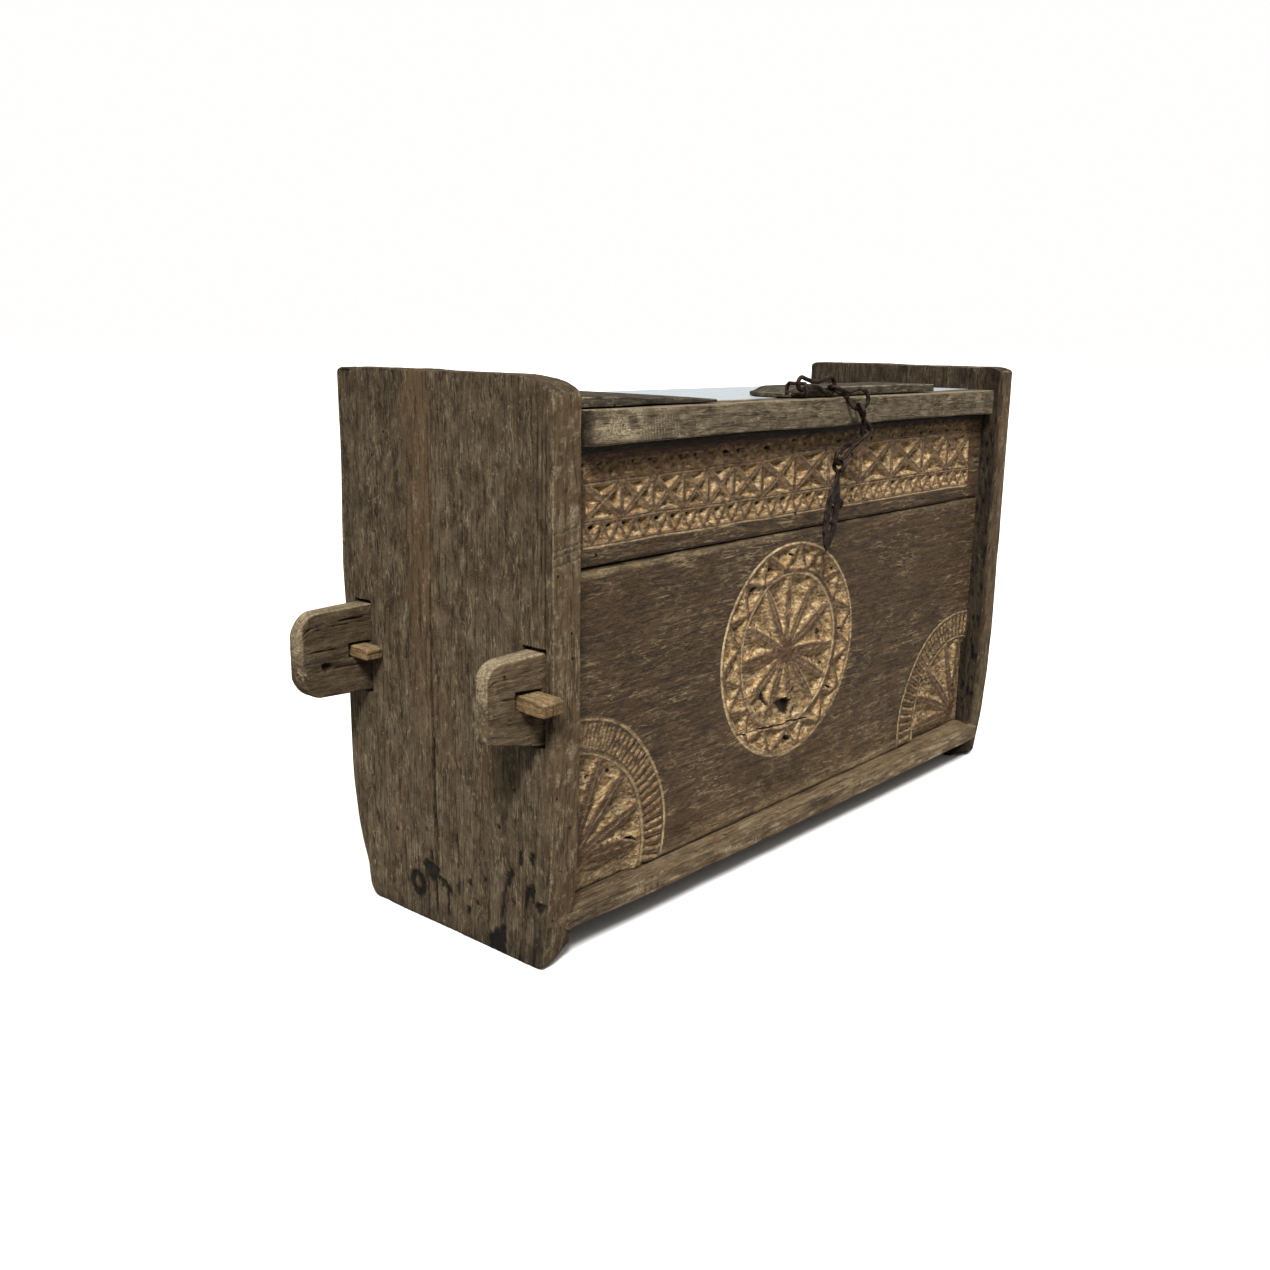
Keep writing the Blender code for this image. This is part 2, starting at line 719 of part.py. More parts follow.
def lid_staple(plank):
    """A bent rod with one leg in the plank's top and one in its front face."""
    points = staple_points()
    hole = tube("lid_staple_hole", points, staple_radius + seat_gap, False, cutters, None)
    boolean(plank, hole)
    return tube("lid_staple", points, staple_radius, False)


def link_points(start, centre, far_radius, start_side, far_side):
    """Centreline of a link: a small eye at start, a narrow waist and a wider eye about centre."""
    run = centre - start
    length = run.length
    along = run.normalized()
    profile = []
    for step in range(eye_steps + 1):
        angle = pi - eye_open * step / eye_steps
        profile.append((eye_radius * cos(angle), eye_radius * sin(angle)))
    waist_start = profile[-1][0]
    waist = length + far_radius * cos(eye_open) - waist_start
    if waist > waist_half:
        profile.append((waist_start + waist * 0.35, waist_half))
        profile.append((waist_start + waist * 0.65, waist_half))
    for step in range(eye_steps + 1):
        angle = eye_open * (1 - step / eye_steps)
        profile.append((length + far_radius * cos(angle), far_radius * sin(angle)))
    twist = start_side.angle(far_side)
    turn = 1 if start_side.cross(far_side).dot(along) >= 0 else -1
    points = []
    for side, run_order in ((1, profile), (-1, profile[-2:0:-1])):
        for reach, width in run_order:
            share = min(max((reach - eye_radius) / (length - eye_radius - far_radius), 0), 1)
            across = Matrix.Rotation(turn * twist * share, 3, along) @ start_side
            points.append(start + along * reach + across * (side * width))
    return points


def least_distance(first, second, samples=4):
    """Least distance between two centrelines, with each stretch between points sampled."""
    least = chest_width
    for start, end in zip(second, second[1:]):
        for step in range(samples):
            place = start.lerp(end, step / samples)
            for near, far in zip(first, first[1:] + first[:1]):
                span = far - near
                share = min(max((place - near).dot(span) / span.length_squared, 0), 1)
                least = min(least, (near + span * share - place).length)
    return least


def seated_link(joint, along, sides, centre, far_radius, bar, bar_radius):
    """Points of a link whose small eye is drawn out along it until it rests on the bar."""
    shift = eye_radius - rod_radius - bar_radius - seat_gap
    points = link_points(joint + along * shift, centre, far_radius, *sides)
    while shift > 0 and least_distance(points, bar) < rod_radius + bar_radius + seat_gap:
        shift -= seat_step
        points = link_points(joint + along * shift, centre, far_radius, *sides)
    return points


def chain():
    """Forged links, each turned so that its small eye hangs on the bar of the link before it."""
    joint = staple_bar
    tangent = Vector((0, 1, 0))
    bar = staple_points()
    bar_radius = staple_radius
    for name, far, far_radius, width, hang in links:
        centre = Vector((staple_bar.x + far.x, far.y - rail_front, lid_top + far.z))
        along = (centre - joint).normalized()
        start_side = along.cross(tangent).normalized()
        width = Vector(width)
        far_side = (width - along * width.dot(along)).normalized()
        if far_side.dot(start_side) < 0:
            far_side = -far_side
        sides = (start_side, far_side)
        points = seated_link(joint, along, sides, centre, far_radius, bar, bar_radius)
        set_origin(tube(name, points, rod_radius, True), joint)
        gap = least_distance(points, bar) - rod_radius - bar_radius
        plane = along.cross(far_side).normalized()
        hang = (hang - plane * hang.dot(plane)).normalized()
        tangent = plane.cross(hang)
        joint = centre + hang * far_radius
        bar = points + points[:1]
        bar_radius = rod_radius
        print(name, "gap to its bar in mm", round(gap * 1000, 2))
        print("next joint", [round(v, 5) for v in joint], "axis", [round(v, 4) for v in tangent])
    return joint


def hasp(joint):
    """A leaf-shaped slotted plate hanging from a forged eye."""
    right_side = [(share * hasp_width / 2, -drop * hasp_length) for drop, share in leaf]
    left_side = [(-x, z) for x, z in reversed(right_side)]
    outline = right_side + [(0, -hasp_length)] + left_side
    faces = (-hasp_thickness / 2, hasp_thickness / 2)
    plate = add_object("hasp", prism_mesh("hasp", outline, *faces, "Y"), paint=iron)
    bevel(plate, hasp_edge, 1)
    slot_mesh = box_mesh("hasp_slot", (-slot_width / 2, slot_width / 2), (-cut_past, cut_past),
                         (-slot_drop - slot_length, -slot_drop))
    slot = add_object("hasp_slot", slot_mesh, cutters)
    boolean(plate, slot)
    drop = eye_radius - 2 * rod_radius - seat_gap
    ring = []
    for step in range(18):
        angle = 2 * pi * step / 18
        ring.append(Vector((0, eye_radius * sin(angle), eye_radius * cos(angle) - drop)))
    eye = tube("hasp_eye", ring, rod_radius, True, cutters, None)
    boolean(plate, eye, "UNION")
    neck_mesh = box_mesh("hasp_neck", (-neck_half, neck_half), faces, (-neck_length, -eye_radius - drop))
    neck = add_object("hasp_neck", neck_mesh, cutters)
    boolean(plate, neck, "UNION")
    for piece in (plate, slot, eye, neck):
        piece.matrix_world = Matrix.Translation(joint) @ Matrix.Rotation(hasp_lean, 4, "Y")


def frieze_staple():
    """A ring staple driven into the frieze beside the hasp."""
    board = bpy.data.objects["frieze_board"]
    place = Vector((staple_bar.x + ring_right, -front_face, panel_top + ring_up))
    points = [place + Vector((0, ring_leg_depth, ring_radius)), place + Vector((0, 0, ring_radius))]
    for step in range(9):
        angle = pi / 2 - pi * step / 8
        bow = Vector((0, -ring_reach - ring_radius * cos(angle), ring_radius * sin(angle)))
        points.append(place + bow)
    points += [place + Vector((0, 0, -ring_radius)), place + Vector((0, ring_leg_depth, -ring_radius))]
    tube("frieze_staple", points, ring_rod, False)
    hole = tube("frieze_staple_hole", points, ring_rod + seat_gap, False, cutters, None)
    boolean(board, hole)


def stand_on_centre():
    """Move the whole chest so that its box stands on the origin."""
    bpy.context.view_layer.update()
    depsgraph = bpy.context.evaluated_depsgraph_get()
    corners = []
    for item in parts.objects:
        shape = item.evaluated_get(depsgraph)
        corners += [shape.matrix_world @ vertex.co for vertex in shape.data.vertices]
    low = Vector([min(c[i] for c in corners) for i in range(3)])
    high = Vector([max(c[i] for c in corners) for i in range(3)])
    shift = Vector((-(low.x + high.x) / 2, -(low.y + high.y) / 2, -low.z))
    print("shift", [round(v, 5) for v in shift], "size", [round(v, 4) for v in high - low])
    for item in list(parts.objects) + list(cutters.objects):
        item.location += shift


def main():
    clear_scene()
    end_board("left_end_board", -1)
    end_board("right_end_board", 1)
    front_boards()
    back_boards()
    floor_boards()
    lid()
    hasp(chain())
    frieze_staple()
    stand_on_centre()


main()
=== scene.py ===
"""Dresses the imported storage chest: hewn boards, chip carving, tusk wedges, lid planks and a forged chain."""

from functools import cache, cached_property
from math import cos, pi, radians, sin

import bmesh
import bpy
import numpy as np
from bpy.props import FloatProperty, FloatVectorProperty, PointerProperty
from mathutils import Matrix, Quaternion, Vector


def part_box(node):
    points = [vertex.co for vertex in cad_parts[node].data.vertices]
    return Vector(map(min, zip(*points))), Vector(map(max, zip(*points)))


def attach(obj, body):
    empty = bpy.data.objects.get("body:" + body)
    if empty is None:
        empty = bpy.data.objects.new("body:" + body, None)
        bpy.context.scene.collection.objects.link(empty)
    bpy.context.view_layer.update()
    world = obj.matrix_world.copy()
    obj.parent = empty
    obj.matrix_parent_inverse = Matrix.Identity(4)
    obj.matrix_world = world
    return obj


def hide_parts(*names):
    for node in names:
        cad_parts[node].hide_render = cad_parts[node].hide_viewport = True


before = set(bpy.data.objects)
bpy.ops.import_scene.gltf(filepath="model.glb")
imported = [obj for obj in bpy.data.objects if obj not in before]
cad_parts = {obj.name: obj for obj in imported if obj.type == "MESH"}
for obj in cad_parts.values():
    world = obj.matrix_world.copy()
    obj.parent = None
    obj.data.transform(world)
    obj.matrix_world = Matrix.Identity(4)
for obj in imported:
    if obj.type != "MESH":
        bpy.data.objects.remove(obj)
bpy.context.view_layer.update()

bl_info = {
    "name": "Storage chest",
    "version": (1, 0, 0),
    "blender": (4, 5, 0),
    "location": "3D View > Sidebar > Chest",
    "description": "Hewn boards, chip carving and forged iron for a tusk-tenoned storage chest",
    "category": "Add Mesh",
}

MM = 0.001
WELD = 1e-5  # points nearer than this become one
FACING = 0.6  # how squarely a point has to face a side to count as lying on it


def linear(value):
    """A colour written as six sRGB hex digits, as linear red, green and blue."""
    parts = [int(value[i:i + 2], 16) / 255 for i in (0, 2, 4)]
    return tuple(p / 12.92 if p <= 0.04045 else ((p + 0.055) / 1.055) ** 2.4 for p in parts)


def colour(name, description, value):
    return FloatVectorProperty(name=name, description=description, default=linear(value), subtype="COLOR",
                               size=3, min=0.0, max=1.0)


def length(name, description, value):
    return FloatProperty(name=name, description=description, default=value, unit="LENGTH", min=0.0,
                         precision=4)


# Sizes and colours that a user would change

class ChestWood(bpy.types.PropertyGroup):
    weathered: colour("Weathered wood", "Dry grey-brown of the end boards", "7a6346")
    # Also the colour of painted shade in cut splits, slots and holes
    weathered_dark: colour("Weathered grain", "Dirt that lies in the open grain", "2b1f12")
    weathered_pale: colour("Bleached fibre", "Worn fibres that catch the light", "b1a182")
    bare_strip: colour("Scraped strip", "Tan wood where the grey skin has come off", "755c3e")
    stain: colour("Old stain", "Black-brown water and iron stains", "0e0b09")
    panel: colour("Smoked wood", "Dark smoked surface of the front", "6d5335")
    # Also the colour of painted shade in the carving's holes and under the rail
    panel_dark: colour("Smoked grain", "Soot in the grain of the front", "291c10")
    panel_pale: colour("Rubbed wood", "Scratches and rubbed places on the front", "a99570")
    # Also the ground of the cream painted highlights on the carving
    carving: colour("Cut wood", "Golden wood inside the chips", "a98758")
    # A darker copy of it paints the shade in the deepest chips
    ridge: colour("Carved ridge", "Handled ridges between the chips", "5c3f28")
    rail: colour("Worn rail", "Paler wood of the rail below the lid", "756650")
    lid: colour("Plank wood", "Dark grey wood of the two planks on the lid", "3d3a35")
    # Painted reflection: the lid's upper face is painted this colour where it is seen at a low angle
    lid_painted_sheen: colour("Lid sheen", "What the polished lid shows at a low angle", "b4bcc0")
    lid_rubbed: colour("Lid wood", "Grey-brown wood of the lid, rubbed smooth", "8b8072")
    wedge: colour("Split wedge", "Pale split wood of the left wedges", "96764c")


class ChestShape(bpy.types.PropertyGroup):
    grid: length("Surface step", "Distance between the cross lines of a board", 2.6 * MM)
    carving_grid: length("Carving step", "Distance between the cross lines of the carving", 1.25 * MM)
    worn_edge: length("Worn edge", "Rounding of the boards' edges", 3.2 * MM)
    hewing: length("Hewing", "Height of the tool marks", 1.3 * MM)
    chip_depth: length("Chip depth", "Deepest that a chip goes", 6.0 * MM)


class ChestIron(bpy.types.PropertyGroup):
    iron: colour("Forged iron", "Dark brown skin of the chain", "1a120c")
    rust: colour("Rust", "Red-brown rust on the chain", "352114")
    voxel: length("Remesh step", "Mesh size of the ironwork", 0.62 * MM)
    dents: length("Hammer dents", "Height of the hammer marks", 0.35 * MM)


class ChestStage(bpy.types.PropertyGroup):
    floor: colour("Floor", "Plain pale studio floor", "f4f2ee")
    camera: FloatVectorProperty(name="Camera", description="Place of the camera", subtype="TRANSLATION",
                                default=(-1.2882, -0.9864, 0.6410), unit="LENGTH")
    target: FloatVectorProperty(name="Target", description="Point at the picture's middle",
                                subtype="TRANSLATION", default=(-0.1315, 0.0065, 0.2817), unit="LENGTH")
    roll: FloatProperty(name="Roll", description="Tilt of the camera about its view", unit="ROTATION",
                        default=radians(0.859))
    lens: FloatProperty(name="Lens", description="Focal length", unit="CAMERA", default=35.94)
    ambient: FloatProperty(name="Ambient light", description="Strength of the white surroundings",
                           default=0.36, min=0.0)
    key: FloatProperty(name="Key light", description="Strength of the key light", default=5.4, min=0.0)


# Random surfaces that come out the same each time

def corner_value(cells, seed):
    """A repeatable number from 0 to 1 for each corner of a grid."""
    cells = cells.astype(np.uint64)
    mask = np.uint64(0xFFFFFFFF)
    mixed = cells[..., 0] * np.uint64(73856093)
    mixed ^= cells[..., 1] * np.uint64(19349663)
    mixed ^= cells[..., 2] * np.uint64(83492791)
    mixed = (mixed + np.uint64(seed * 2654435761 & 0xFFFFFFFF)) & mask
    for shift, factor in ((15, 2246822519), (13, 3266489917)):
        mixed = (mixed ^ (mixed >> np.uint64(shift))) * np.uint64(factor) & mask
    mixed ^= mixed >> np.uint64(16)
    return mixed.astype(float) / 0xFFFFFFFF


def noise(points, size, seed=0):
    """Smooth random values from -1 to 1, with bumps of the given size along X, Y and Z."""
    scaled = points / np.asarray(size, float)
    low = np.floor(scaled)
    part = scaled - low
    part = part * part * (3 - 2 * part)
    low = low.astype(np.int64)
    total = np.zeros(len(points))
    for corner in np.ndindex(2, 2, 2):
        pick = np.array(corner)
        weight = np.prod(np.where(pick == 1, part, 1 - part), axis=-1)
        total += weight * corner_value(low + pick, seed)
    return 2 * total - 1


def wander(places, size, seed):
    """One-dimensional smooth random values from -1 to 1."""
    line = np.zeros((len(places), 3))
    line[:, 0] = places
    return noise(line, (size, 1, 1), seed)


def ramp(values, low, high):
    """0 below low, 1 above high and smooth between; it runs down if low is above high."""
    part = np.clip((values - low) / (high - low), 0, 1)
    return part * part * (3 - 2 * part)


# Boards

def cross_lines(low, high, step, fine=(), edge=None):
    """Places of cross lines, step apart, closer at each (place, reach, step) of fine and at both ends."""
    samples = np.linspace(low, high, 4001)
    density = np.full(samples.shape, 1 / step)
    spots = list(fine)
    if edge:
        spots += [(low, edge, edge / 3), (high, edge, edge / 3)]
    for place, reach, near in spots:
        density = np.where(np.abs(samples - place) < reach, np.maximum(density, 1 / near), density)
    total = np.concatenate(([0], np.cumsum((density[1:] + density[:-1]) / 2 * np.diff(samples))))
    count = int(np.ceil(total[-1]))
    return np.interp(np.linspace(0, total[-1], count + 1), total, samples)


def read_points(mesh, field="co"):
    points = np.empty(len(mesh.vertices) * 3)
    mesh.vertices.foreach_get(field, points)
    return points.reshape(-1, 3)


def write_points(mesh, points):
    mesh.vertices.foreach_set("co", points.astype(np.float32).ravel())
    mesh.update()


def keep(mesh, marks):
    """Stores each value of a point as an attribute that the materials read."""
    for name, values in marks.items():
        layer = mesh.attributes.new(name, "FLOAT", "POINT")
        layer.data.foreach_set("value", np.clip(values, 0, 1).astype(np.float32))


def place_lines(points, lines):
    """Moves an even grid over 0 to 1 on to the cross lines."""
    for axis, places in enumerate(lines):
        index = np.rint(points[:, axis] * (len(places) - 1)).astype(int)
        points[:, axis] = places[index]
    return points


def new_mesh(bm, name):
    """A mesh with what the bmesh holds; the bmesh is freed."""
    mesh = bpy.data.meshes.new(name)
    bm.to_mesh(mesh)
    bm.free()
    return mesh


def new_item(name, data):
    item = bpy.data.objects.new(name, data)
    bpy.context.scene.collection.objects.link(item)
    return item


def lattice(name, lines):
    """A closed box whose six sides are grids with their cross lines at the given places."""
    bm = bmesh.new()
    counts = [len(places) - 1 for places in lines]
    for axis in range(3):
        across, up = (axis + 1) % 3, (axis + 2) % 3
        for side in (0.0, 1.0):
            matrix = Matrix.Diagonal((0, 0, 0, 1))
            matrix[across][0] = matrix[up][1] = matrix[axis][2] = 1
            matrix.translation = Vector((0.5, 0.5, 0.5))
            matrix[axis][3] = side
            bmesh.ops.create_grid(bm, x_segments=counts[across], y_segments=counts[up], size=0.5,
                                  matrix=matrix)
    bmesh.ops.remove_doubles(bm, verts=bm.verts, dist=WELD)
    bmesh.ops.recalc_face_normals(bm, faces=bm.faces)
    mesh = new_mesh(bm, name)
    return mesh, place_lines(read_points(mesh), lines)


def worn(points, edge, seed):
    """Rounds a box's edges by a radius that varies, and says which way each point faces."""
    low = points.min(0)
    high = points.max(0)
    radius = edge * (1 + 0.45 * noise(points, (0.035, 0.035, 0.035), seed))[:, None]
    core = np.clip(points, low + radius, high - radius)
    out = points - core
    reach = np.linalg.norm(out, axis=1, keepdims=True)
    outward = out / np.maximum(reach, 1e-9)
    rubbed = ramp(reach[:, 0] / radius[:, 0], 1.0, 1.3)
    return core + outward * radius, outward, rubbed


def facing(outward, axis, side):
    """Which points lie on the board's face at that side of an axis."""
    return side * outward[:, axis] > FACING


def on_axis(grain, across, length_of):
    """A size that is long on the grain's axis."""
    size = [across] * 3
    size[grain] = length_of
    return np.array(size)


def tooled(points, grain, height, seed):
    """Depth of the open grain, its furrows and the hollows that a blade leaves; grain is the long axis."""
    scoop, furrow, fibre = (on_axis(grain, *size) * MM for size in ((26, 60), (5, 130), (2.2, 45)))
    deep = 0.45 * (0.5 + 0.5 * noise(points, scoop, seed))
    deep = deep + 0.40 * (1 - np.abs(noise(points, furrow, seed + 1)))
    deep = deep + 0.22 * (0.5 + 0.5 * noise(points, fibre, seed + 2))
    return deep * height


def seat(item, body, slot, *nodes):
    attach(item, body)
    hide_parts(*nodes)


def hewn_board(name, node, corners, step, edge, height, seed, material, grain=0, fine=((), (), ()),
               features=None, outline=None, body="chest", slot="weathered_wood"):
    """A board with worn edges and tool marks; features adds cuts and marks, outline bends the whole."""
    low, high = corners
    lines = [cross_lines(low[a], high[a], min(step, (high[a] - low[a]) / 4), fine[a], edge) for a in range(3)]
    mesh, flat = lattice(name, lines)
    points, outward, rubbed = worn(flat, edge, seed)
    depth = tooled(flat, grain, height, seed + 5)
    marks = {"rubbed": rubbed * ramp(noise(flat, (0.02, 0.02, 0.02), seed + 9), -0.6, 0.6),
             "hollow": ramp(depth / height, 0.62, 0.95) * 0.7}
    if features:
        cut, extra = features(flat, outward)
        depth = depth + cut
        # Cuts darken too: painted shade in splits, slots and holes
        marks["hollow"] = np.maximum(marks["hollow"], ramp(cut, 0.4 * MM, 2.5 * MM))
        marks.update(extra)
    points = points - outward * depth[:, None]
    if outline:
        points = outline(points)
    write_points(mesh, points)
    keep(mesh, marks)
    mesh.shade_smooth()
    mesh.materials.append(material)
    seat(new_item(name, mesh), body, slot, node)


# Cuts

def groove(distance, half_width, depth):
    """A V-shaped groove, from the distance to its line."""
    return depth * np.clip(1 - np.abs(distance) / half_width, 0, 1)


def quarter(part, share=1.0):
    """Rises from 0 to 1 over 0 to 1 like a quarter of a circle, or like its first part."""
    return 1 - np.sqrt(1 - share * np.clip(part, 0, 1) ** 2)


def crack(along, across, start, end, place, slope, wave, half_width, depth, seed):
    """A split that wanders along the grain from start to end; wave, half width and depth are in mm."""
    path = place + slope * (along - start) + wave * MM * wander(along, 0.045, seed)
    path = path + 0.35 * (wave * MM) * wander(along, 0.011, seed + 3)
    fade = ramp(along, start, start + 0.25 * (end - start)) * ramp(along, end, end - 0.25 * (end - start))
    width = half_width * MM * (0.75 + 0.45 * wander(along, 0.03, seed + 7))
    return groove(across - path, np.maximum(width, 0.3 * MM), depth * MM) * fade


def cracks(along, across, rows):
    """The deepest of several cracks, from what each row says."""
    return np.max([crack(along, across, *row) for row in rows], axis=0)


def pit(a, b, place, size, depth, turn=0.0, rim=(1.15, 0.55)):
    """An oval hole; rim says where its wall starts and ends, in shares of its size."""
    x = a - place[0]
    y = b - place[1]
    x, y = x * cos(turn) + y * sin(turn), y * cos(turn) - x * sin(turn)
    ring = np.sqrt((x / size[0]) ** 2 + (y / size[1]) ** 2)
    around = np.arctan2(y, x)
    uneven = 0.16 * np.sin(3 * around + 900 * place[0]) + 0.10 * np.sin(7 * around + 700 * place[1])
    ring = ring * (1 + uneven)
    return depth * ramp(ring, *rim)


def pits(a, b, rows, depth, **rim):
    """The deepest of several oval holes; each row has the place, half sizes in mm and the turn."""
    return np.max([pit(a, b, (x, y), (wide * MM, tall * MM), depth, turn, **rim)
                   for x, y, wide, tall, turn in rows], axis=0)


def inside(a, b, a_range, b_range, soft=0.5 * MM):
    """1 inside a rectangle, 0 outside."""
    gap = np.minimum(np.minimum(a - a_range[0], a_range[1] - a), np.minimum(b - b_range[0], b_range[1] - b))
    return ramp(gap, -soft, soft)


def triangle(a, b, corners):
    """Least distance to the sides of a triangle, above 0 inside it."""
    least = np.full(a.shape, 1e9)
    for i in range(3):
        (x0, y0), (x1, y1) = corners[i], corners[(i + 1) % 3]
        span = np.hypot(x1 - x0, y1 - y0)
        least = np.minimum(least, ((x1 - x0) * (b - y0) - (y1 - y0) * (a - x0)) / span)
    return least


def teeth(along, across, period, height, ridge, slope):
    """Triangular chips on both sides of a zigzag ridge in a band from 0 to height."""
    part = np.abs((along / period) % 1.0 - 0.5) * 2
    steep = cos(np.arctan2(height, period / 2))
    to_ridge = np.abs(across - height * part) * steep - ridge
    to_side = np.minimum(across, height - across) - 0.8 * MM
    return np.maximum(np.minimum(to_ridge, to_side), 0) * slope


class Cuts:
    """The carving's depth at each point, and how much of it is freshly cut wood."""

    def __init__(self, u, v):
        self.u = u
        self.v = v
        # dark holds painted shade: in holes and along the frieze's top under the rail
        self.depth, self.fresh, self.zone, self.dark = np.zeros((4, len(u)))
        self.pale, self.outline, self.smoke = np.zeros((3, len(u)))

    def line(self, distance, strength=1.0):
        """A pale line beside a ring groove: the polished line that the compass point left, with a painted
        highlight on the groove's edge.
        """
        patchy = 0.75 + 0.35 * noise(np.column_stack((self.u, self.u * 0, self.v)), (0.012, 1, 0.012), 97)
        near = ramp(np.abs(distance), 2.3 * MM, 0.9 * MM)
        self.outline = np.maximum(self.outline, strength * patchy * near)

    def add(self, depth, fresh=1.0, where=None):
        if where is not None:
            depth = np.where(where, depth, 0)
        self.depth = np.maximum(self.depth, depth)
        self.fresh = np.maximum(self.fresh, ramp(depth, 0.15 * MM, 1.1 * MM) * fresh)

    def hole(self, depth):
        """A hole painted dark for the shade inside it, without fresh wood in it."""
        self.depth = np.maximum(self.depth, depth)
        self.dark = np.maximum(self.dark, ramp(depth, 1.0 * MM, 4.0 * MM))

    def shard(self, corners, slope, deepest, lip=0.0):
        """A three-cornered hole where the wood between two chips has broken out."""
        inward = triangle(self.u, self.v, corners)
        self.hole(np.clip(inward * slope + lip, 0, deepest) * (inward > 0))


def star(cuts, hub, centre, radii, rays, ridge, swell, slope, limit):
    """Raised spears that run from a hub to a ring, with wedge-shaped chips between them."""
    flat_x = (cuts.u - centre[0]) / radii[0]
    flat_y = (cuts.v - centre[1]) / radii[1]
    part = np.clip(np.hypot(flat_x, flat_y), 0, 1)
    x = (cuts.u - hub[0]) * (1 - part) + flat_x * radii[0] * part
    y = (cuts.v - hub[1]) * (1 - part) + flat_y * radii[0] * part
    radius = np.hypot(x, y)
    nearest = np.full(x.shape, 1e9)
    line = np.full(x.shape, 1e9)
    for number, angle in enumerate(rays):
        side = x * -sin(radians(angle)) + y * cos(radians(angle))
        ahead = x * cos(radians(angle)) + y * sin(radians(angle))
        width = ridge + swell[number % len(swell)] * np.sin(pi * np.clip(radius / radii[0], 0, 1))
        gap = np.where(ahead > -2 * MM, np.abs(side) - width, 1e9)
        nearest = np.minimum(nearest, gap)
        line = np.minimum(line, np.where(ahead > 0, np.abs(side), 1e9))
    to_ring = (1 - np.hypot(flat_x, flat_y)) * radii[0] - 2.0 * MM
    chip = np.minimum(nearest, to_ring) * slope
    cuts.add(np.clip(chip, 0, limit))
    ringed = np.hypot(flat_x, flat_y) < 0.97
    cuts.add(groove(line, 1.0 * MM, 0.9 * MM) * ramp(radius, 12 * MM, 22 * MM), 0.25, ringed)


def carve_medallion(cuts, chip_limit):
    """The round rosette under the hasp: a ring of chips around twelve spears."""
    centre = (-0.0385, 0.2635)
    outer = (0.1435, 0.1352)
    inner = (0.1015, 0.0980)
    hub = (-0.0490, 0.2617)
    x = (cuts.u - centre[0]) / outer[0]
    y = (cuts.v - centre[1]) / outer[1]
    ring = np.hypot(x, y) * outer[0]
    turn = np.arctan2(y, x)
    cuts.zone = np.maximum(cuts.zone, ramp(ring, outer[0] + 2 * MM, outer[0] - 1 * MM))
    wobble = 0.9 * MM * np.sin(3 * turn + 1.0) + 0.7 * MM * np.sin(7 * turn + 0.4)
    cuts.add(groove(ring - outer[0] - 0.5 * wobble, 1.7 * MM, 1.3 * MM))
    cuts.line(ring - outer[0] - 0.5 * wobble + 1.2 * MM)
    x2 = (cuts.u - centre[0] + 0.003) / inner[0]
    y2 = (cuts.v - centre[1]) / inner[1]
    ring2 = np.hypot(x2, y2) * inner[0]
    cuts.add(groove(ring2 - inner[0] - wobble, 1.6 * MM, 1.2 * MM), 0.8)
    cuts.line(ring2 - inner[0] - wobble, np.where((turn > -1.2) & (turn < 1.3), 1.0, 0.35))
    start = 0.1075
    band = 0.0325
    jitter = 0.05 * np.sin(5 * turn + 0.7) + 0.04 * np.sin(9 * turn)
    period = 0.0505
    along = (turn / (2 * pi) * 15 + 0.38 + jitter) * period
    chips = teeth(along, ring - start - 0.6 * wobble, period, band, 1.9 * MM, 0.62)
    cuts.add(np.clip(chips, 0, chip_limit), 1.0, (ring > start) & (ring < start + band + 0.002))
    rays = (92, 121, 155, 181, 213, 242, 277, 307, 329, 354, 30, 60)
    star(cuts, hub, (centre[0] - 0.003, centre[1]), inner, rays, 1.3 * MM,
         (4.2 * MM, 4.6 * MM, 3.6 * MM, 4.4 * MM), 0.55, chip_limit)
    cuts.hole(pits(cuts.u, cuts.v, (
        (-0.132, 0.238, 3.2, 7.0, 0.2), (-0.168, 0.251, 3.6, 3.2, 0), (-0.088, 0.209, 3.6, 9.5, 0.4),
        (-0.101, 0.196, 3.0, 2.2, 0.3), (-0.021, 0.207, 2.6, 4.0, -0.3), (-0.036, 0.146, 8.0, 3.2, -0.5),
        (-0.074, 0.144, 4.0, 2.4, -0.6), (0.033, 0.273, 6.0, 4.6, -0.4), (0.049, 0.343, 2.8, 2.8, 0),
        (-0.042, 0.316, 2.6, 3.0, 0), (-0.083, 0.369, 4.5, 2.8, 0.3), (-0.042, 0.383, 4.5, 2.2, -0.5),
        (0.075, 0.270, 3.2, 2.4, 0), (0.041, 0.230, 4.0, 2.6, 0), (0.059, 0.194, 6.0, 2.4, -0.4),
        (-0.119, 0.350, 5.0, 3.0, 0.5), (-0.160, 0.304, 2.8, 2.6, 0), (-0.018, 0.180, 4.0, 3.0, 0)), 7 * MM))
    cuts.shard(((-0.064, 0.198), (-0.040, 0.176), (-0.036, 0.203)), 2.4, 8 * MM, 0.4 * MM)
    cuts.shard(((-0.050, 0.203), (-0.038, 0.172), (-0.030, 0.196)), 2.4, 8 * MM, 0.4 * MM)
    path = 0.1690 - 0.06 * (cuts.u + 0.07) + 1.8 * MM * wander(cuts.u, 0.016, 61)
    split = groove(cuts.v - path, 1.5 * MM, 4.5 * MM) * ramp(cuts.u, -0.152, -0.138) * ramp(cuts.u, 0.03, 0.0)
    cuts.hole(split)


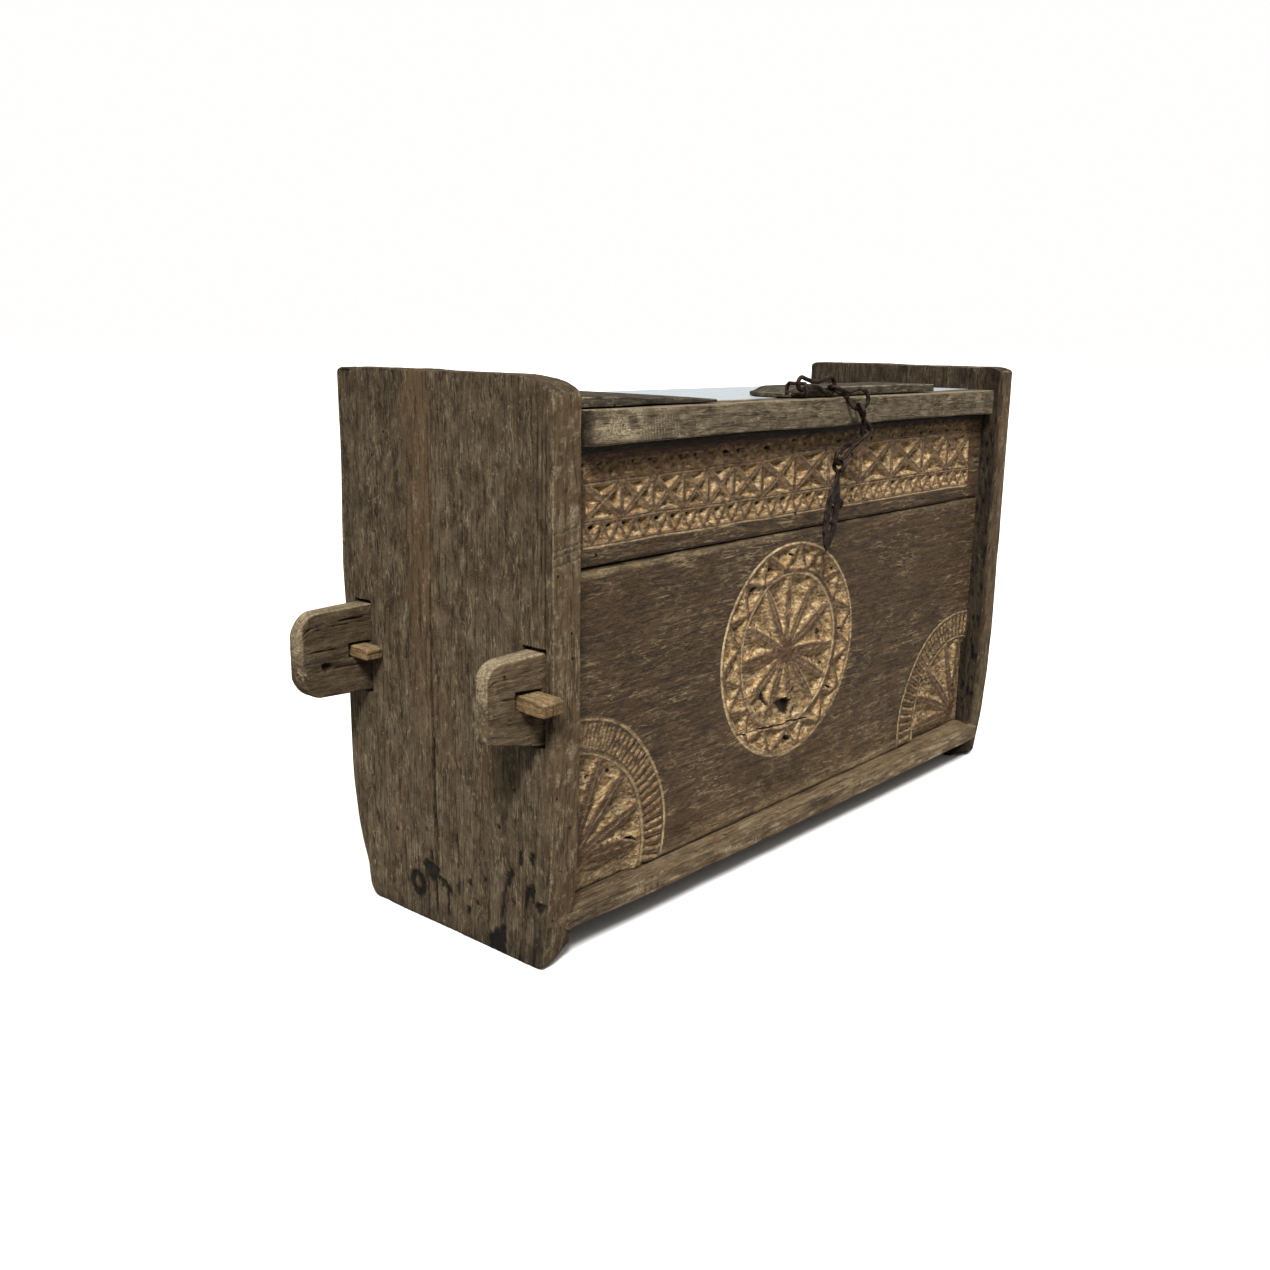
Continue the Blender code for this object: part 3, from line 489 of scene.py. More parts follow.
def carve_quarter(cuts, centre, outer, inner, rays, facing, chip_limit, smoke, hatches):
    """A quarter rosette in a lower corner: a hatched band around a fan of spears."""
    x = (cuts.u - centre[0]) / outer[0]
    y = (cuts.v - centre[1]) / outer[1]
    ring = np.hypot(x, y) * outer[0]
    turn = np.degrees(np.arctan2(y, x * facing))
    share = inner[0] / outer[0]
    disc = ramp(ring, outer[0] + 2 * MM, outer[0] - 1 * MM)
    cuts.zone = np.maximum(cuts.zone, disc)
    cuts.smoke = np.maximum(cuts.smoke, smoke * disc)
    wobble = 0.9 * MM * np.sin(radians(1) * turn * 7 + 0.5)
    cuts.add(groove(ring - outer[0] - wobble, 1.7 * MM, 1.4 * MM), 0.9)
    cuts.line(ring - outer[0] - wobble, 0.8)
    cuts.add(groove(ring - outer[0] * share + wobble, 1.7 * MM, 1.5 * MM), 0.9)
    cuts.line(ring - outer[0] * share + wobble, 0.7)
    band = outer[0] * (1 - share)
    across = (ring - outer[0] * share) / band
    for low, high, step, rows in hatches:
        where = (turn > low) & (turn <= high)
        slanted = turn + (1.5 if rows == 2 else 0) * np.where(across > 0.5, 1, 0)
        wave = np.abs(((slanted - low) / step) % 1.0 - 0.5) * radians(step) * ring
        limits = ramp(across, 0.08, 0.16) * ramp(across, 0.93, 0.84)
        if rows == 2:
            limits = limits * ramp(np.abs(across - 0.5), 0.03, 0.09)
        width = 0.30 * radians(step) * 0.137
        cuts.add(groove(wave, width, min(0.75 * width, 2.6 * MM)) * limits, 1.0, where)
    star(cuts, centre, centre, (outer[0] * share, outer[1] * share), rays, 1.6 * MM,
         (5.0 * MM, 3.6 * MM, 4.4 * MM), 0.42, chip_limit)


def carve_panel(u, v, chip_limit):
    """The medallion, the two corner fans and the panel's broken upper edge and holes."""
    cuts = Cuts(u, v)
    drop = 0.4142 - v - 0.7 * MM * wander(u, 0.05, 81)
    wide = np.interp(u, (-0.42, -0.15, 0.0, 0.1, 0.3), (4.2, 2.0, 3.2, 1.6, 1.8)) * MM
    # The seam below the frieze, cut as a hole and painted dark for its shade
    cuts.hole(6.5 * MM * ramp(drop, wide, 0.4 * wide))
    worn = ramp(drop, wide, wide + 1 * MM) * ramp(drop, wide + 8 * MM, wide + 5 * MM)
    worn = worn * np.interp(u, (-0.40, -0.25, -0.05, 0.15, 0.30), (1.0, 0.7, 0.25, 0.1, 0.3))
    cuts.pale = np.maximum(cuts.pale, worn * (0.75 + 0.25 * wander(u, 0.012, 83)))
    scoured = ramp(v, 0.086, 0.070) * (0.65 + 0.35 * wander(u, 0.03, 85))
    cuts.pale = np.maximum(cuts.pale, 0.45 * scoured)
    carve_medallion(cuts, chip_limit)
    left = (-0.436, 0.103)
    carve_quarter(cuts, left, (0.154, 0.155), (0.117, 0.117), (-4, 18, 43, 66, 88), 1, chip_limit, 0.34,
                  ((-20, 36, 4.3, 1), (36, 62, 3.3, 2), (62, 110, 2.5, 1)))
    right = (0.4185, 0.083)
    carve_quarter(cuts, right, (0.168, 0.158), (0.127, 0.114), (136, 157, 107, 180, 88), -1, chip_limit, 0.34,
                  ((-20, 52, 4.7, 1), (52, 78, 3.6, 2), (78, 130, 4.6, 1)))
    cuts.shard(((-0.3775, 0.1485), (-0.3655, 0.1435), (-0.3585, 0.1650)), 2.2, 8 * MM)
    cuts.shard(((-0.3570, 0.1060), (-0.3260, 0.0940), (-0.3360, 0.1040)), 3.0, 7 * MM)
    cuts.hole(pits(u, v, (
        (-0.428, 0.203, 4.0, 11.0, -0.2), (-0.417, 0.207, 5.0, 2.6, -0.7), (-0.426, 0.180, 2.8, 2.4, 0),
        (-0.408, 0.190, 2.0, 2.0, 0), (0.352, 0.185, 6.0, 3.6, 0.3), (0.3150, 0.150, 6.0, 4.6, 0.5),
        (0.300, 0.101, 2.6, 2.0, 0), (0.393, 0.196, 4.0, 2.2, 0)), 7 * MM))
    return cuts


# Places of the upright ridges between the frieze's cells, from the middle of the chest
FRIEZE_POSTS = (-0.4180, -0.3605, -0.3105, -0.2580, -0.2155, -0.1680, -0.1130, -0.0455, 0.0300,
                0.1060, 0.1860, 0.2700, 0.3430, 0.4120)


def carve_frieze(u, v, chip_limit):
    """Two rows of triangular chips with a row of crossed cells between them."""
    cuts = Cuts(u, v)
    start, end = FRIEZE_POSTS[0], FRIEZE_POSTS[-1]
    left_line = 0.0008 * wander(u, 0.05, 31)
    low = 0.4610 + left_line
    high = np.interp(u, (start, -0.113, -0.0455, 0.30, end), (0.4975, 0.5015, 0.5070, 0.5125, 0.5090))
    high = high + 0.0008 * wander(u, 0.06, 33)
    span = (u > start) & (u < end)
    border = 0.4345
    cuts.zone = ramp(v, 0.4325, border) * ramp(v, 0.5300, 0.5240) * ramp(u, start - 8 * MM, start)
    cuts.zone = cuts.zone * ramp(u, end + 16 * MM, end)
    cuts.add(groove(v - border - left_line, 1.5 * MM, 1.4 * MM), 0.7, span)
    cuts.line(v - border - left_line, 0.6 * span)
    # Painted shadow of the rail on the top of the frieze
    cuts.dark = np.maximum(cuts.dark, 0.85 * ramp(v, 0.5240, 0.5310))
    cuts.add(groove(v - low + 1.2 * MM, 1.1 * MM, 1.0 * MM), 0.3, span)
    cuts.add(groove(v - high - 1.2 * MM, 1.1 * MM, 1.0 * MM), 0.3, span)
    for number, (a, b) in enumerate(zip(FRIEZE_POSTS, FRIEZE_POSTS[1:])):
        inner = (u >= a) & (u < b)
        middle = (a + b) / 2 + 1.2 * MM * sin(number * 2.3)
        x = np.where(u < middle, (u - middle) / (middle - a), (u - middle) / (b - middle))
        y = (v - (low + high) / 2) / ((high - low) / 2)
        wide = (b - a) / 2
        tall = 0.5 * (high - low)
        steep = 1 / np.hypot(1 / wide, 1 / tall)
        ridge = np.interp(b - a, (0.042, 0.08), (2.5 * MM, 3.7 * MM))
        first = np.abs(x - y) * steep
        second = np.abs(x + y) * steep
        to_ridge = np.minimum(first, second) - ridge
        to_post = (1 - np.abs(x)) * wide - ridge * 1.05
        to_line = (1 - np.abs(y)) * tall - 1.0 * MM
        to_side = np.where(np.abs(x) > np.abs(y), to_post, to_line)
        chip = np.clip(np.minimum(to_ridge, to_side) * 0.85, 0, chip_limit)
        cuts.add(chip, 1.0, inner & (np.abs(y) < 1))
        fine = np.minimum(np.minimum(first, second), (1 - np.abs(x)) * wide)
        cuts.add(groove(fine, 0.9 * MM, 0.9 * MM), 0.2, inner & (np.abs(y) < 1))
    period = 0.0262
    drift = 0.0022 * wander(u, 0.09, 41)
    base = 0.4362
    lower = teeth(u - start + drift, v - base - left_line, period, 0.0225, 1.0 * MM, 0.62)
    cuts.add(np.clip(lower, 0, chip_limit), 1.0, span & (v > base) & (v < 0.4590))
    # The upper row takes less of the cut wood's colour: painted shade under the rail
    upper = teeth(u - start + period / 2 + 2 * drift, v - high - 3 * MM, period, 0.0190, 1.0 * MM, 0.60)
    cuts.add(np.clip(upper, 0, chip_limit), 0.6, span & (v > high + 2.5 * MM) & (v < high + 0.023))
    for number in range(34):
        place = start + period * (number + 0.5) + 1.5 * MM * sin(number * 1.7)
        if sin(number * 3.1) > -0.35 and place < end - 0.01:
            cuts.hole(pit(u, v, (place, 0.4535), (3.4 * MM, 2.2 * MM), 6.5 * MM, 0.3 * sin(number)))
        if sin(number * 2.2) > -0.1 and place < end - 0.01:
            cuts.hole(pit(u, v, (place - period / 2, 0.5165), (4.0 * MM, 2.2 * MM), 6 * MM, 0.2))
    return cuts


def crest(cuts, columns, rows):
    """Where the carving turns sharply outward: its edges, which get a painted highlight."""
    order = np.lexsort((cuts.u, cuts.v))
    sheet = cuts.depth[order].reshape(rows, columns)
    padded = np.pad(sheet, 1, mode="edge")
    around = (padded[:-2, 1:-1] + padded[2:, 1:-1] + padded[1:-1, :-2] + padded[1:-1, 2:]) / 4
    sharp = np.empty(sheet.size)
    sharp[order] = (around - sheet).ravel()
    return ramp(sharp, 0.04 * MM, 0.26 * MM)


def carved_board(name, x_lines, z_lines, faces_y, carve, chip_limit, budget, seed):
    """A board with a carved front: a fine grid pushed in by the carving, with plain sides and back."""
    bm = bmesh.new()
    matrix = Matrix(((1, 0, 0, 0.5), (0, 0, -1, 0), (0, 1, 0, 0.5), (0, 0, 0, 1)))
    bmesh.ops.create_grid(bm, x_segments=len(x_lines) - 1, y_segments=len(z_lines) - 1, size=0.5,
                          matrix=matrix)
    mesh = new_mesh(bm, name)
    points = place_lines(read_points(mesh), [x_lines, np.array((faces_y[0], faces_y[0])), z_lines])
    u = points[:, 0] - middle_x
    v = points[:, 2]
    cuts = carve(u, v, chip_limit)
    skin = 0.55 * MM * (1 - np.abs(noise(points, (70 * MM, 1, 5 * MM), seed)))
    skin += 0.35 * MM * (0.5 + 0.5 * noise(points, (9 * MM, 1, 4 * MM), seed + 1))
    knife = 1.3 * MM * (1 - np.abs(noise(points, (9 * MM, 1, 7 * MM), seed + 2)))
    knife += 0.8 * MM * (1 - np.abs(noise(points, (4.5 * MM, 1, 4 * MM), seed + 3)))
    knife *= ramp(cuts.depth, 0.5 * MM, 2.5 * MM)
    to_side = np.minimum(np.minimum(points[:, 0] - x_lines[0], x_lines[-1] - points[:, 0]),
                         np.minimum(v - z_lines[0], z_lines[-1] - v))
    rounding = 1.6 * MM * (1 - ramp(to_side, 0, 3.5 * MM))
    points[:, 1] = faces_y[0] + 0.1 * MM + cuts.depth + skin + knife + rounding
    write_points(mesh, points)
    # Painted highlight on the carving's sharp edges, kept with the pale lines beside the rings
    edge_light = 0.40 * crest(cuts, len(x_lines), len(z_lines)) * cuts.zone
    keep(mesh, {"fresh": cuts.fresh, "zone": cuts.zone, "crest": np.maximum(edge_light, cuts.outline),
                "rubbed": cuts.pale, "stain": cuts.smoke,
                "hollow": np.maximum(cuts.dark, 0.5 * ramp(skin, 0.55 * MM, 0.85 * MM)),
                # deep darkens the deepest chips: painted shade, with the dirt that lies in them
                "deep": ramp(cuts.depth, 1.5 * MM, 6 * MM)})
    bm = bmesh.new()
    bm.from_mesh(mesh)
    rim = [edge for edge in bm.edges if edge.is_boundary]
    grown = bmesh.ops.extrude_edge_only(bm, edges=rim)["geom"]
    corners = [part for part in grown if isinstance(part, bmesh.types.BMVert)]
    for corner in corners:
        corner.co.y = faces_y[1]
    back_rim = [part for part in grown if isinstance(part, bmesh.types.BMEdge) and part.is_boundary]
    bmesh.ops.edgeloop_fill(bm, edges=back_rim)
    bmesh.ops.recalc_face_normals(bm, faces=bm.faces)
    bm.to_mesh(mesh)
    bm.free()
    mesh.shade_smooth()
    item = new_item(name, mesh)
    count = 2 * len(mesh.polygons)
    if count > budget:
        thin = item.modifiers.new("thin", "DECIMATE")
        thin.ratio = budget / count
        item.data = applied(item)
        item.modifiers.clear()
    item.data.set_sharp_from_angle(angle=radians(50))
    item.data.materials.append(smoked_cedar())
    return item


def applied(item):
    """The mesh that an object's modifiers give."""
    bpy.context.view_layer.update()
    graph = bpy.context.evaluated_depsgraph_get()
    return bpy.data.meshes.new_from_object(item.evaluated_get(graph), depsgraph=graph)


# Materials

def add_node(tree, kind, inputs=None, **settings):
    """Adds a node; inputs maps its sockets to values or to other nodes' outputs."""
    node = tree.nodes.new(kind)
    for name, value in settings.items():
        setattr(node, name, value)
    for name, value in (inputs or {}).items():
        if isinstance(value, bpy.types.NodeSocket):
            tree.links.new(value, node.inputs[name])
        else:
            node.inputs[name].default_value = value
    return node


def tint(shade, factor=1.0):
    """A colour made darker or lighter, for a colour socket."""
    return (*(min(1, factor * part) for part in shade), 1.0)


class Paint:
    """A material in the making: its nodes, and the colour laid on so far."""

    def __init__(self, name):
        self.material = bpy.data.materials.new(name)
        self.material.use_nodes = True
        self.tree = self.material.node_tree
        self.inputs = self.tree.nodes["Principled BSDF"].inputs
        self.shade = None

    def node(self, kind, inputs=None, **settings):
        return add_node(self.tree, kind, inputs, **settings).outputs

    @cached_property
    def coords(self):
        return self.node("ShaderNodeTexCoord")["Object"]

    def link(self, output, name):
        self.tree.links.new(output, self.inputs[name])

    def math(self, operation, *values, clamp=False):
        return self.node("ShaderNodeMath", dict(enumerate(values)), operation=operation, use_clamp=clamp)[0]

    def scaled(self, value, factor, add=0.0):
        return self.math("MULTIPLY_ADD", value, factor, add, clamp=True)

    def mark(self, name):
        """What the mesh's attribute of that name holds."""
        return self.node("ShaderNodeAttribute", attribute_name=name)["Fac"]

    def mapped(self, value, **ends):
        """The value moved from one range to another, and held inside it."""
        names = {"start": "From Min", "stop": "From Max", "low": "To Min", "high": "To Max"}
        return self.node("ShaderNodeMapRange", {"Value": value} | {names[end]: ends[end] for end in ends})[0]

    def pattern(self, size, start, stop, detail, roughness, place=(0, 0, 0), turn=(0, 0, 0)):
        """A noise pattern of real size in mm, as a value from 0 to 1."""
        spot = self.node("ShaderNodeMapping", {"Vector": self.coords, "Location": place, "Rotation": turn,
                                               "Scale": tuple(1 / (part * MM) for part in size)})[0]
        grain = self.node("ShaderNodeTexNoise", {"Vector": spot, "Scale": 1.0, "Detail": detail,
                                                 "Roughness": roughness})
        return self.mapped(grain["Fac"], start=start, stop=stop)

    def veins(self, size, width, place, turn=(0, 0, 0), detail=3.0):
        """Thin wandering lines such as scratches, splits and torn fibres: 1 on a line and 0 beside it."""
        grain = self.pattern(size, 0.0, 1.0, detail, 0.62, place, turn)
        off = self.math("ABSOLUTE", self.math("SUBTRACT", grain, 0.5))
        return self.mapped(off, start=width, stop=0.3 * width)

    def worm_holes(self, spacing, share):
        """Round flight holes of furniture beetles, about 1.5 mm across, painted as dark spots for their shade;
        no hole is cut.
        """
        spot = self.node("ShaderNodeMapping", {"Vector": self.coords, "Scale": (1 / (spacing * MM),) * 3})[0]
        cells = self.node("ShaderNodeTexVoronoi", {"Vector": spot, "Scale": 1.0})
        near = self.math("LESS_THAN", cells["Distance"], 0.09)
        chosen = self.node("ShaderNodeSeparateColor", {"Color": cells["Color"]})["Red"]
        return self.math("MULTIPLY", near, self.math("LESS_THAN", chosen, share))

    def mix(self, share, first, second):
        return self.node("ShaderNodeMix", {0: share, 6: first, 7: second}, data_type="RGBA")[2]

    def lay(self, *layers):
        """Lays colours over what is there, each by its share."""
        for share, shade in layers:
            self.shade = self.mix(share, self.shade, shade)

    def finish(self, roughness, specular, height, parts, distance, strength=1.0):
        """Joins the colour, the roughness and a bump of several parts to the shader."""
        for part, share in parts:
            height = self.math("MULTIPLY_ADD", part, share, height)
        bump = self.node("ShaderNodeBump", {"Height": height, "Distance": distance * MM,
                                            "Strength": strength})
        self.link(self.shade, "Base Color")
        self.link(roughness, "Roughness")
        self.link(bump[0], "Normal")
        self.inputs["Specular IOR Level"].default_value = specular
        return self.material


def paints():
    return bpy.context.scene.chest_wood


def weathered_cedar(name, grain, base, dark, pale, rough, contrast, relief, hewn, sheen=False):
    """Old cedar left bare: the soft grain has sunk, grey fibre stands up and dirt fills the furrows. Cut
    splits, slots and holes are painted dark as shade, raised facets carry a painted highlight and, if sheen is
    set, the upper face a painted reflection.
    """
    wood = paints()
    paint = Paint(name)
    scaled, mark = paint.scaled, paint.mark

    def size(across, length_of):
        return on_axis(grain, across, length_of)

    lean = (0.55, 0.0, 0.0) if grain == 2 else (0.0, 0.25, 0.0)
    streak = paint.pattern(size(5.5, 85), 0.29, 0.71, 8, 0.70)
    torn = paint.pattern(size(9, 14), 0.36, 0.66, 9, 0.78, (6, 2, 3), lean)
    fibre = paint.pattern(size(2.2, 40), 0.36, 0.66, 4, 0.6, (2, 7, 4))
    broad = paint.pattern(size(36, 100), 0.38, 0.60, 5, 0.62, (3, 1, 7))
    facet = paint.pattern(size(15, 26), 0.38, 0.66, 7, 0.72, (1, 8, 5), lean)
    scratch = paint.veins(size(10, 62), 0.022, (5, 5, 1), lean)
    worn_spots = paint.pattern(size(21, 30), 0.47, 0.60, 3, 0.6, (8, 1, 2))
    split = paint.veins(size(10, 150), 0.022, (2, 2, 5))
    speck = paint.pattern((4.4,) * 3, 0.60, 0.70, 7, 0.8, (4, 9, 1))
    grit = paint.pattern((3.2,) * 3, 0.42, 0.60, 6, 0.76, (9, 2, 6))
    tone = scaled(paint.mix(hewn, streak, torn), 1.45 * contrast, 0.5 - 0.73 * contrast)
    # Paler where the facet pattern rises, as its bump does: a painted highlight on the hewn facets
    facet_highlight = [0.55 * p + 0.45 * b for p, b in zip(pale, base)]
    tan = paint.mix(streak, tint(wood.bare_strip, 0.76), tint(wood.bare_strip))
    bright = paint.math("MULTIPLY", scratch, scaled(worn_spots, 0.85, 0.15))
    paint.shade = paint.mix(tone, tint(dark), tint(base))
    paint.lay((scaled(broad, 0.72 * contrast), tint(base, 0.48)),
              (scaled(facet, 0.70 * contrast), tint(facet_highlight)),
              (scaled(fibre, -0.50 * contrast, 0.50 * contrast), tint(dark)),
              (scaled(mark("bare"), 0.86), tan),
              (scaled(bright, 0.45 * contrast), tint(pale, 1.15)),
              (scaled(split, 0.60 * contrast), tint(dark, 0.5)),
              (paint.math("MULTIPLY", mark("rubbed"), scaled(grit, 0.85, 0.15)), tint(pale, 1.2)),
              (scaled(speck, 0.80 * contrast), tint(pale, 1.5)),
              # Worm holes: dark spots painted for their shade
              (paint.worm_holes(19, 0.22), tint(dark, 0.25)),
              # Darker in the marked hollows: dirt in the deep grain, painted shade in the cut splits, slots and
              # holes
              (scaled(mark("hollow"), 0.85), tint(dark, 0.30)),
              (scaled(mark("stain"), 0.97), tint(wood.stain)))
    if sheen:
        # A painted reflection: where the upper face is seen at a low angle, its colour turns to the pale of the
        # surroundings mirrored there; the underside, marked bare, is left out
        view = paint.node("ShaderNodeLayerWeight", {"Blend": 0.5})["Facing"]
        low_view = paint.mapped(view, start=0.72, stop=0.94)
        paint.lay((paint.math("MULTIPLY", low_view, scaled(mark("bare"), -1, 1)), tint(wood.lid_painted_sheen)))
    dull = paint.mapped(streak, low=rough[1], high=rough[0])
    parts = ((bright, 0.3), (split, -0.8), (torn, 3.2 * hewn), (facet, 2.2), (fibre, 0.3), (speck, 0.5))
    return paint.finish(dull, 0.8 if sheen else 0.16, streak, parts, relief)


# The material's name, the grain's axis, the colours of wood, dirt and worn fibre, the roughness from
# rubbed to rough, the contrast, the bump's height in mm, the share of torn fibre, and whether it is polished
# and has a painted reflection
CEDARS = {
    "bare": ("weathered_cedar_bare", 2, "weathered", "weathered_dark", "weathered_pale",
             (0.60, 0.88), 1.0, 1.5, 0.75),
    "rail": ("weathered_cedar_long", 0, "rail", "weathered_dark", "weathered_pale",
             (0.60, 0.85), 0.95, 0.8, 0.5),
    "tenon": ("handled_cedar_tenon", 0, "weathered", "weathered_dark", "weathered_pale",
              (0.58, 0.80), 0.55, 0.7, 0.3),
    "back": ("smoke_dark_cedar", 0, "panel", "panel_dark", "panel_pale", (0.60, 0.85), 0.8, 0.6, 0.4),
    "plank": ("lid_plank_cedar", 0, "lid", "weathered_dark", "weathered_pale",
              (0.72, 0.90), 0.62, 0.9, 0.4),
    # The lid: polished, with a painted reflection on its upper face
    "lid": ("polished_lid_cedar", 0, "lid_rubbed", "lid", "weathered_pale",
            (0.20, 0.32), 0.6, 0.10, 0.2, True),
}


@cache
def cedar(kind):
    name, grain, base, dark, pale, *looks = CEDARS[kind]
    shades = (getattr(paints(), shade) for shade in (base, dark, pale))
    return weathered_cedar(name, grain, *shades, *looks)


@cache
def smoked_cedar():
    """Cedar front darkened by smoke and handling; the knife left golden wood inside the chips. Cream painted
    highlights lie at random in the chips and on the carving's sharp edges, and painted shade darkens its
    deepest chips and holes.
    """
    wood = paints()
    paint = Paint("smoked_cedar_carved")
    scaled, mark, mix = paint.scaled, paint.mark, paint.mix

    def product(first, second):
        return paint.math("MULTIPLY", first, second)

    streak = paint.pattern((110, 6, 5.0), 0.31, 0.69, 8, 0.68)
    broad = paint.pattern((90, 60, 50), 0.38, 0.62, 5, 0.62, (2, 5, 1))
    grime = paint.pattern((26, 8, 10), 0.34, 0.68, 7, 0.74, (7, 7, 2), (0, 0.3, 0))
    scratch = paint.veins((95, 9, 9), 0.024, (7, 3, 8), (0, 0.10, 0), 2.5)
    slash = paint.veins((48, 9, 11), 0.020, (3, 3, 4), (0, -0.5, 0), 2.5)
    speck = paint.pattern((5.0, 4, 3.6), 0.60, 0.71, 7, 0.8, (4, 9, 1), (0, 0.4, 0))
    worn_away = paint.pattern((60, 50, 42), 0.42, 0.62, 5, 0.66, (4, 4, 4))
    knife = paint.pattern((8, 7, 6), 0.38, 0.60, 6, 0.70, (6, 1, 3))
    # Random cream patches in the cut wood: a painted highlight, for knife facets that catch the light
    painted_glint = paint.pattern((9, 5, 4.5), 0.485, 0.585, 6, 0.74, (1, 2, 9), (0, 0.7, 0))
    dark_line = paint.veins((60, 9, 9), 0.020, (9, 9, 5), (0, 0, 0), 4.0)
    level = paint.node("ShaderNodeSeparateXYZ", {"Vector": paint.coords})["Z"]
    low_part = paint.mapped(level, start=0.22, stop=0.075)
    rubbing = scaled(worn_away, 0.92, 0.08)
    # The cream of the painted highlights on the carving
    cream = tint([a * b for a, b in zip(wood.carving, (2.15, 2.65, 3.7))])
    ridge = mix(knife, tint(wood.ridge, 0.45), tint(wood.ridge, 1.25))
    ridge = mix(scaled(painted_glint, 0.25), ridge, tint(wood.carving))
    cut = mix(knife, tint(wood.ridge, 1.10), tint(wood.carving, 1.22))
    cut = mix(scaled(painted_glint, 0.90), cut, cream)
    paint.shade = mix(mix(0.5, streak, grime), tint(wood.panel_dark), tint(wood.panel))
    paint.lay((scaled(broad, 0.66), tint(wood.panel, 0.45)),
              (scaled(product(low_part, worn_away), 0.80), tint(wood.bare_strip, 0.80)),
              (scaled(product(scratch, rubbing), 0.55), tint(wood.panel_pale)),
              (scaled(product(slash, rubbing), 0.42), tint(wood.panel_pale)),
              (scaled(dark_line, 0.6), tint(wood.panel_dark, 0.5)),
              (scaled(mark("zone"), 0.95), ridge),
              (mark("fresh"), cut),
              # The deepest chips darker: painted shade, with dirt
              (scaled(mark("deep"), 0.38), tint(wood.ridge, 0.40)),
              (product(mark("rubbed"), scaled(knife, 0.6, 0.4)), tint(wood.panel_pale, 1.15)),
              # Cream on the sharp edges and beside the rings: painted highlight, with the polished compass
              # lines
              (product(mark("crest"), scaled(knife, 0.55, 0.45)), cream),
              (product(speck, scaled(worn_away, 0.85, 0.10)), tint(wood.panel_pale, 1.6)),
              (scaled(mark("stain"), 0.8), tint(wood.panel_dark, 0.5)),
              # Worm holes: dark spots painted for their shade
              (paint.worm_holes(30, 0.35), tint(wood.panel_dark, 0.2)),
              # Holes painted dark for their shade, with dirt in the skin's hollows
              (scaled(mark("hollow"), 0.93), tint(wood.panel_dark, 0.22)))
    gloss = paint.math("MULTIPLY_ADD", mark("fresh"), -0.12, paint.mapped(streak, low=0.66, high=0.46))
    parts = ((streak, 1.0), (knife, 1.5), (painted_glint, 0.8), (speck, 0.5), (dark_line, -0.8))
    return paint.finish(gloss, 0.24, grime, parts, 1.0)


def forged_iron(settings):
    """Hand-forged iron: a dark oxide skin with red-brown rust in its hammer marks."""
    paint = Paint("forged_iron_rusted")
    rust = paint.pattern((7,) * 3, 0.42, 0.62, 5, 0.65)
    grit = paint.pattern((1.1,) * 3, 0.35, 0.70, 3, 0.6, (3, 3, 3))
    paint.shade = paint.mix(rust, tint(settings.iron), tint(settings.rust))
    paint.lay((paint.scaled(grit, 0.4), tint(settings.iron, 0.4)))
    paint.link(paint.mapped(rust, low=0.85, high=0.25), "Metallic")
    return paint.finish(paint.mapped(rust, low=0.42, high=0.72), 0.5, grit, ((rust, 1.5),), 0.25, 0.8)


# The chest's own places, read from the frame

def low(node):
    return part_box(node)[0]


def high(node):
    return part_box(node)[1]


def shares(points, node):
    """How far each point lies across the node's box, from 0 to 1 along X, Y and Z."""
    bottom, top = (np.array(corner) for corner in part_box(node))
    return ((points - bottom) / (top - bottom)).T


left_face = high("left_end_board").x
right_face = low("right_end_board").x
middle_x = (left_face + right_face) / 2
middle_y = 0.0065  # the middle of the end boards, from which the places on them are measured
outer_left = low("left_end_board").x
outer_right = high("right_end_board").x
coarse = 1.0

# Tenons, per board: thickness, height, reach past the end board, rounding of the nose above and below,
# how far the lower edge rises to the nose, how much thinner the nose is, how far its front edge is
# rounded back, the wedge, and the wedge's share of its solid's height with its lift in the slot
TENONS = {
    "front_panel": {"y": (-0.1405, -0.1145), "z": (0.2450, 0.3400), "reach": 0.0735,
                    "top": (0.024, 0.026), "low": (0.006, 0.006), "rise": 0.0175, "thin": 0.42,
                    "bull": 0.0022, "wedge": "front_left_wedge", "slim": 0.70, "lift": 0.0},
    "back_panel": {"y": (0.1300, 0.1560), "z": (0.2500, 0.3490), "reach": 0.0935,
                   "top": (0.030, 0.041), "low": (0.031, 0.041), "rise": 0.005, "thin": 0.35,
                   "bull": 0.0085, "wedge": "back_left_wedge", "slim": 0.76, "lift": 0.003},
}

# Splits: from and to which height, place in Y, slope, then the wave, half width and depth in mm, the seed
LEFT_SPLITS = (
    (0.02, 0.604, 0.0232, -0.0150, 1.6, 1.5, 9.0, 3), (0.02, 0.31, 0.0205, -0.012, 1.2, 2.4, 9.0, 13),
    (0.29, 0.50, 0.0370, -0.003, 1.0, 0.9, 4.0, 23), (0.34, 0.585, -0.1405, -0.004, 0.8, 1.5, 7.0, 33),
    (0.36, 0.57, -0.1455, -0.004, 0.8, 1.2, 6.0, 43), (0.30, 0.60, -0.1510, -0.004, 0.8, 1.3, 6.0, 53),
    (0.33, 0.60, -0.0310, 0.0, 2.0, 0.7, 2.5, 63), (0.02, 0.17, 0.0800, 0.01, 1.0, 0.9, 5.0, 73),
    (0.02, 0.24, -0.1100, 0.02, 1.5, 0.8, 3.5, 83), (0.03, 0.20, 0.1250, 0.02, 1.5, 0.8, 3.5, 93),
    (0.36, 0.59, 0.1100, 0.0, 2.5, 0.7, 2.5, 103), (0.02, 0.13, -0.0150, 0.0, 1.5, 0.8, 4.0, 113))

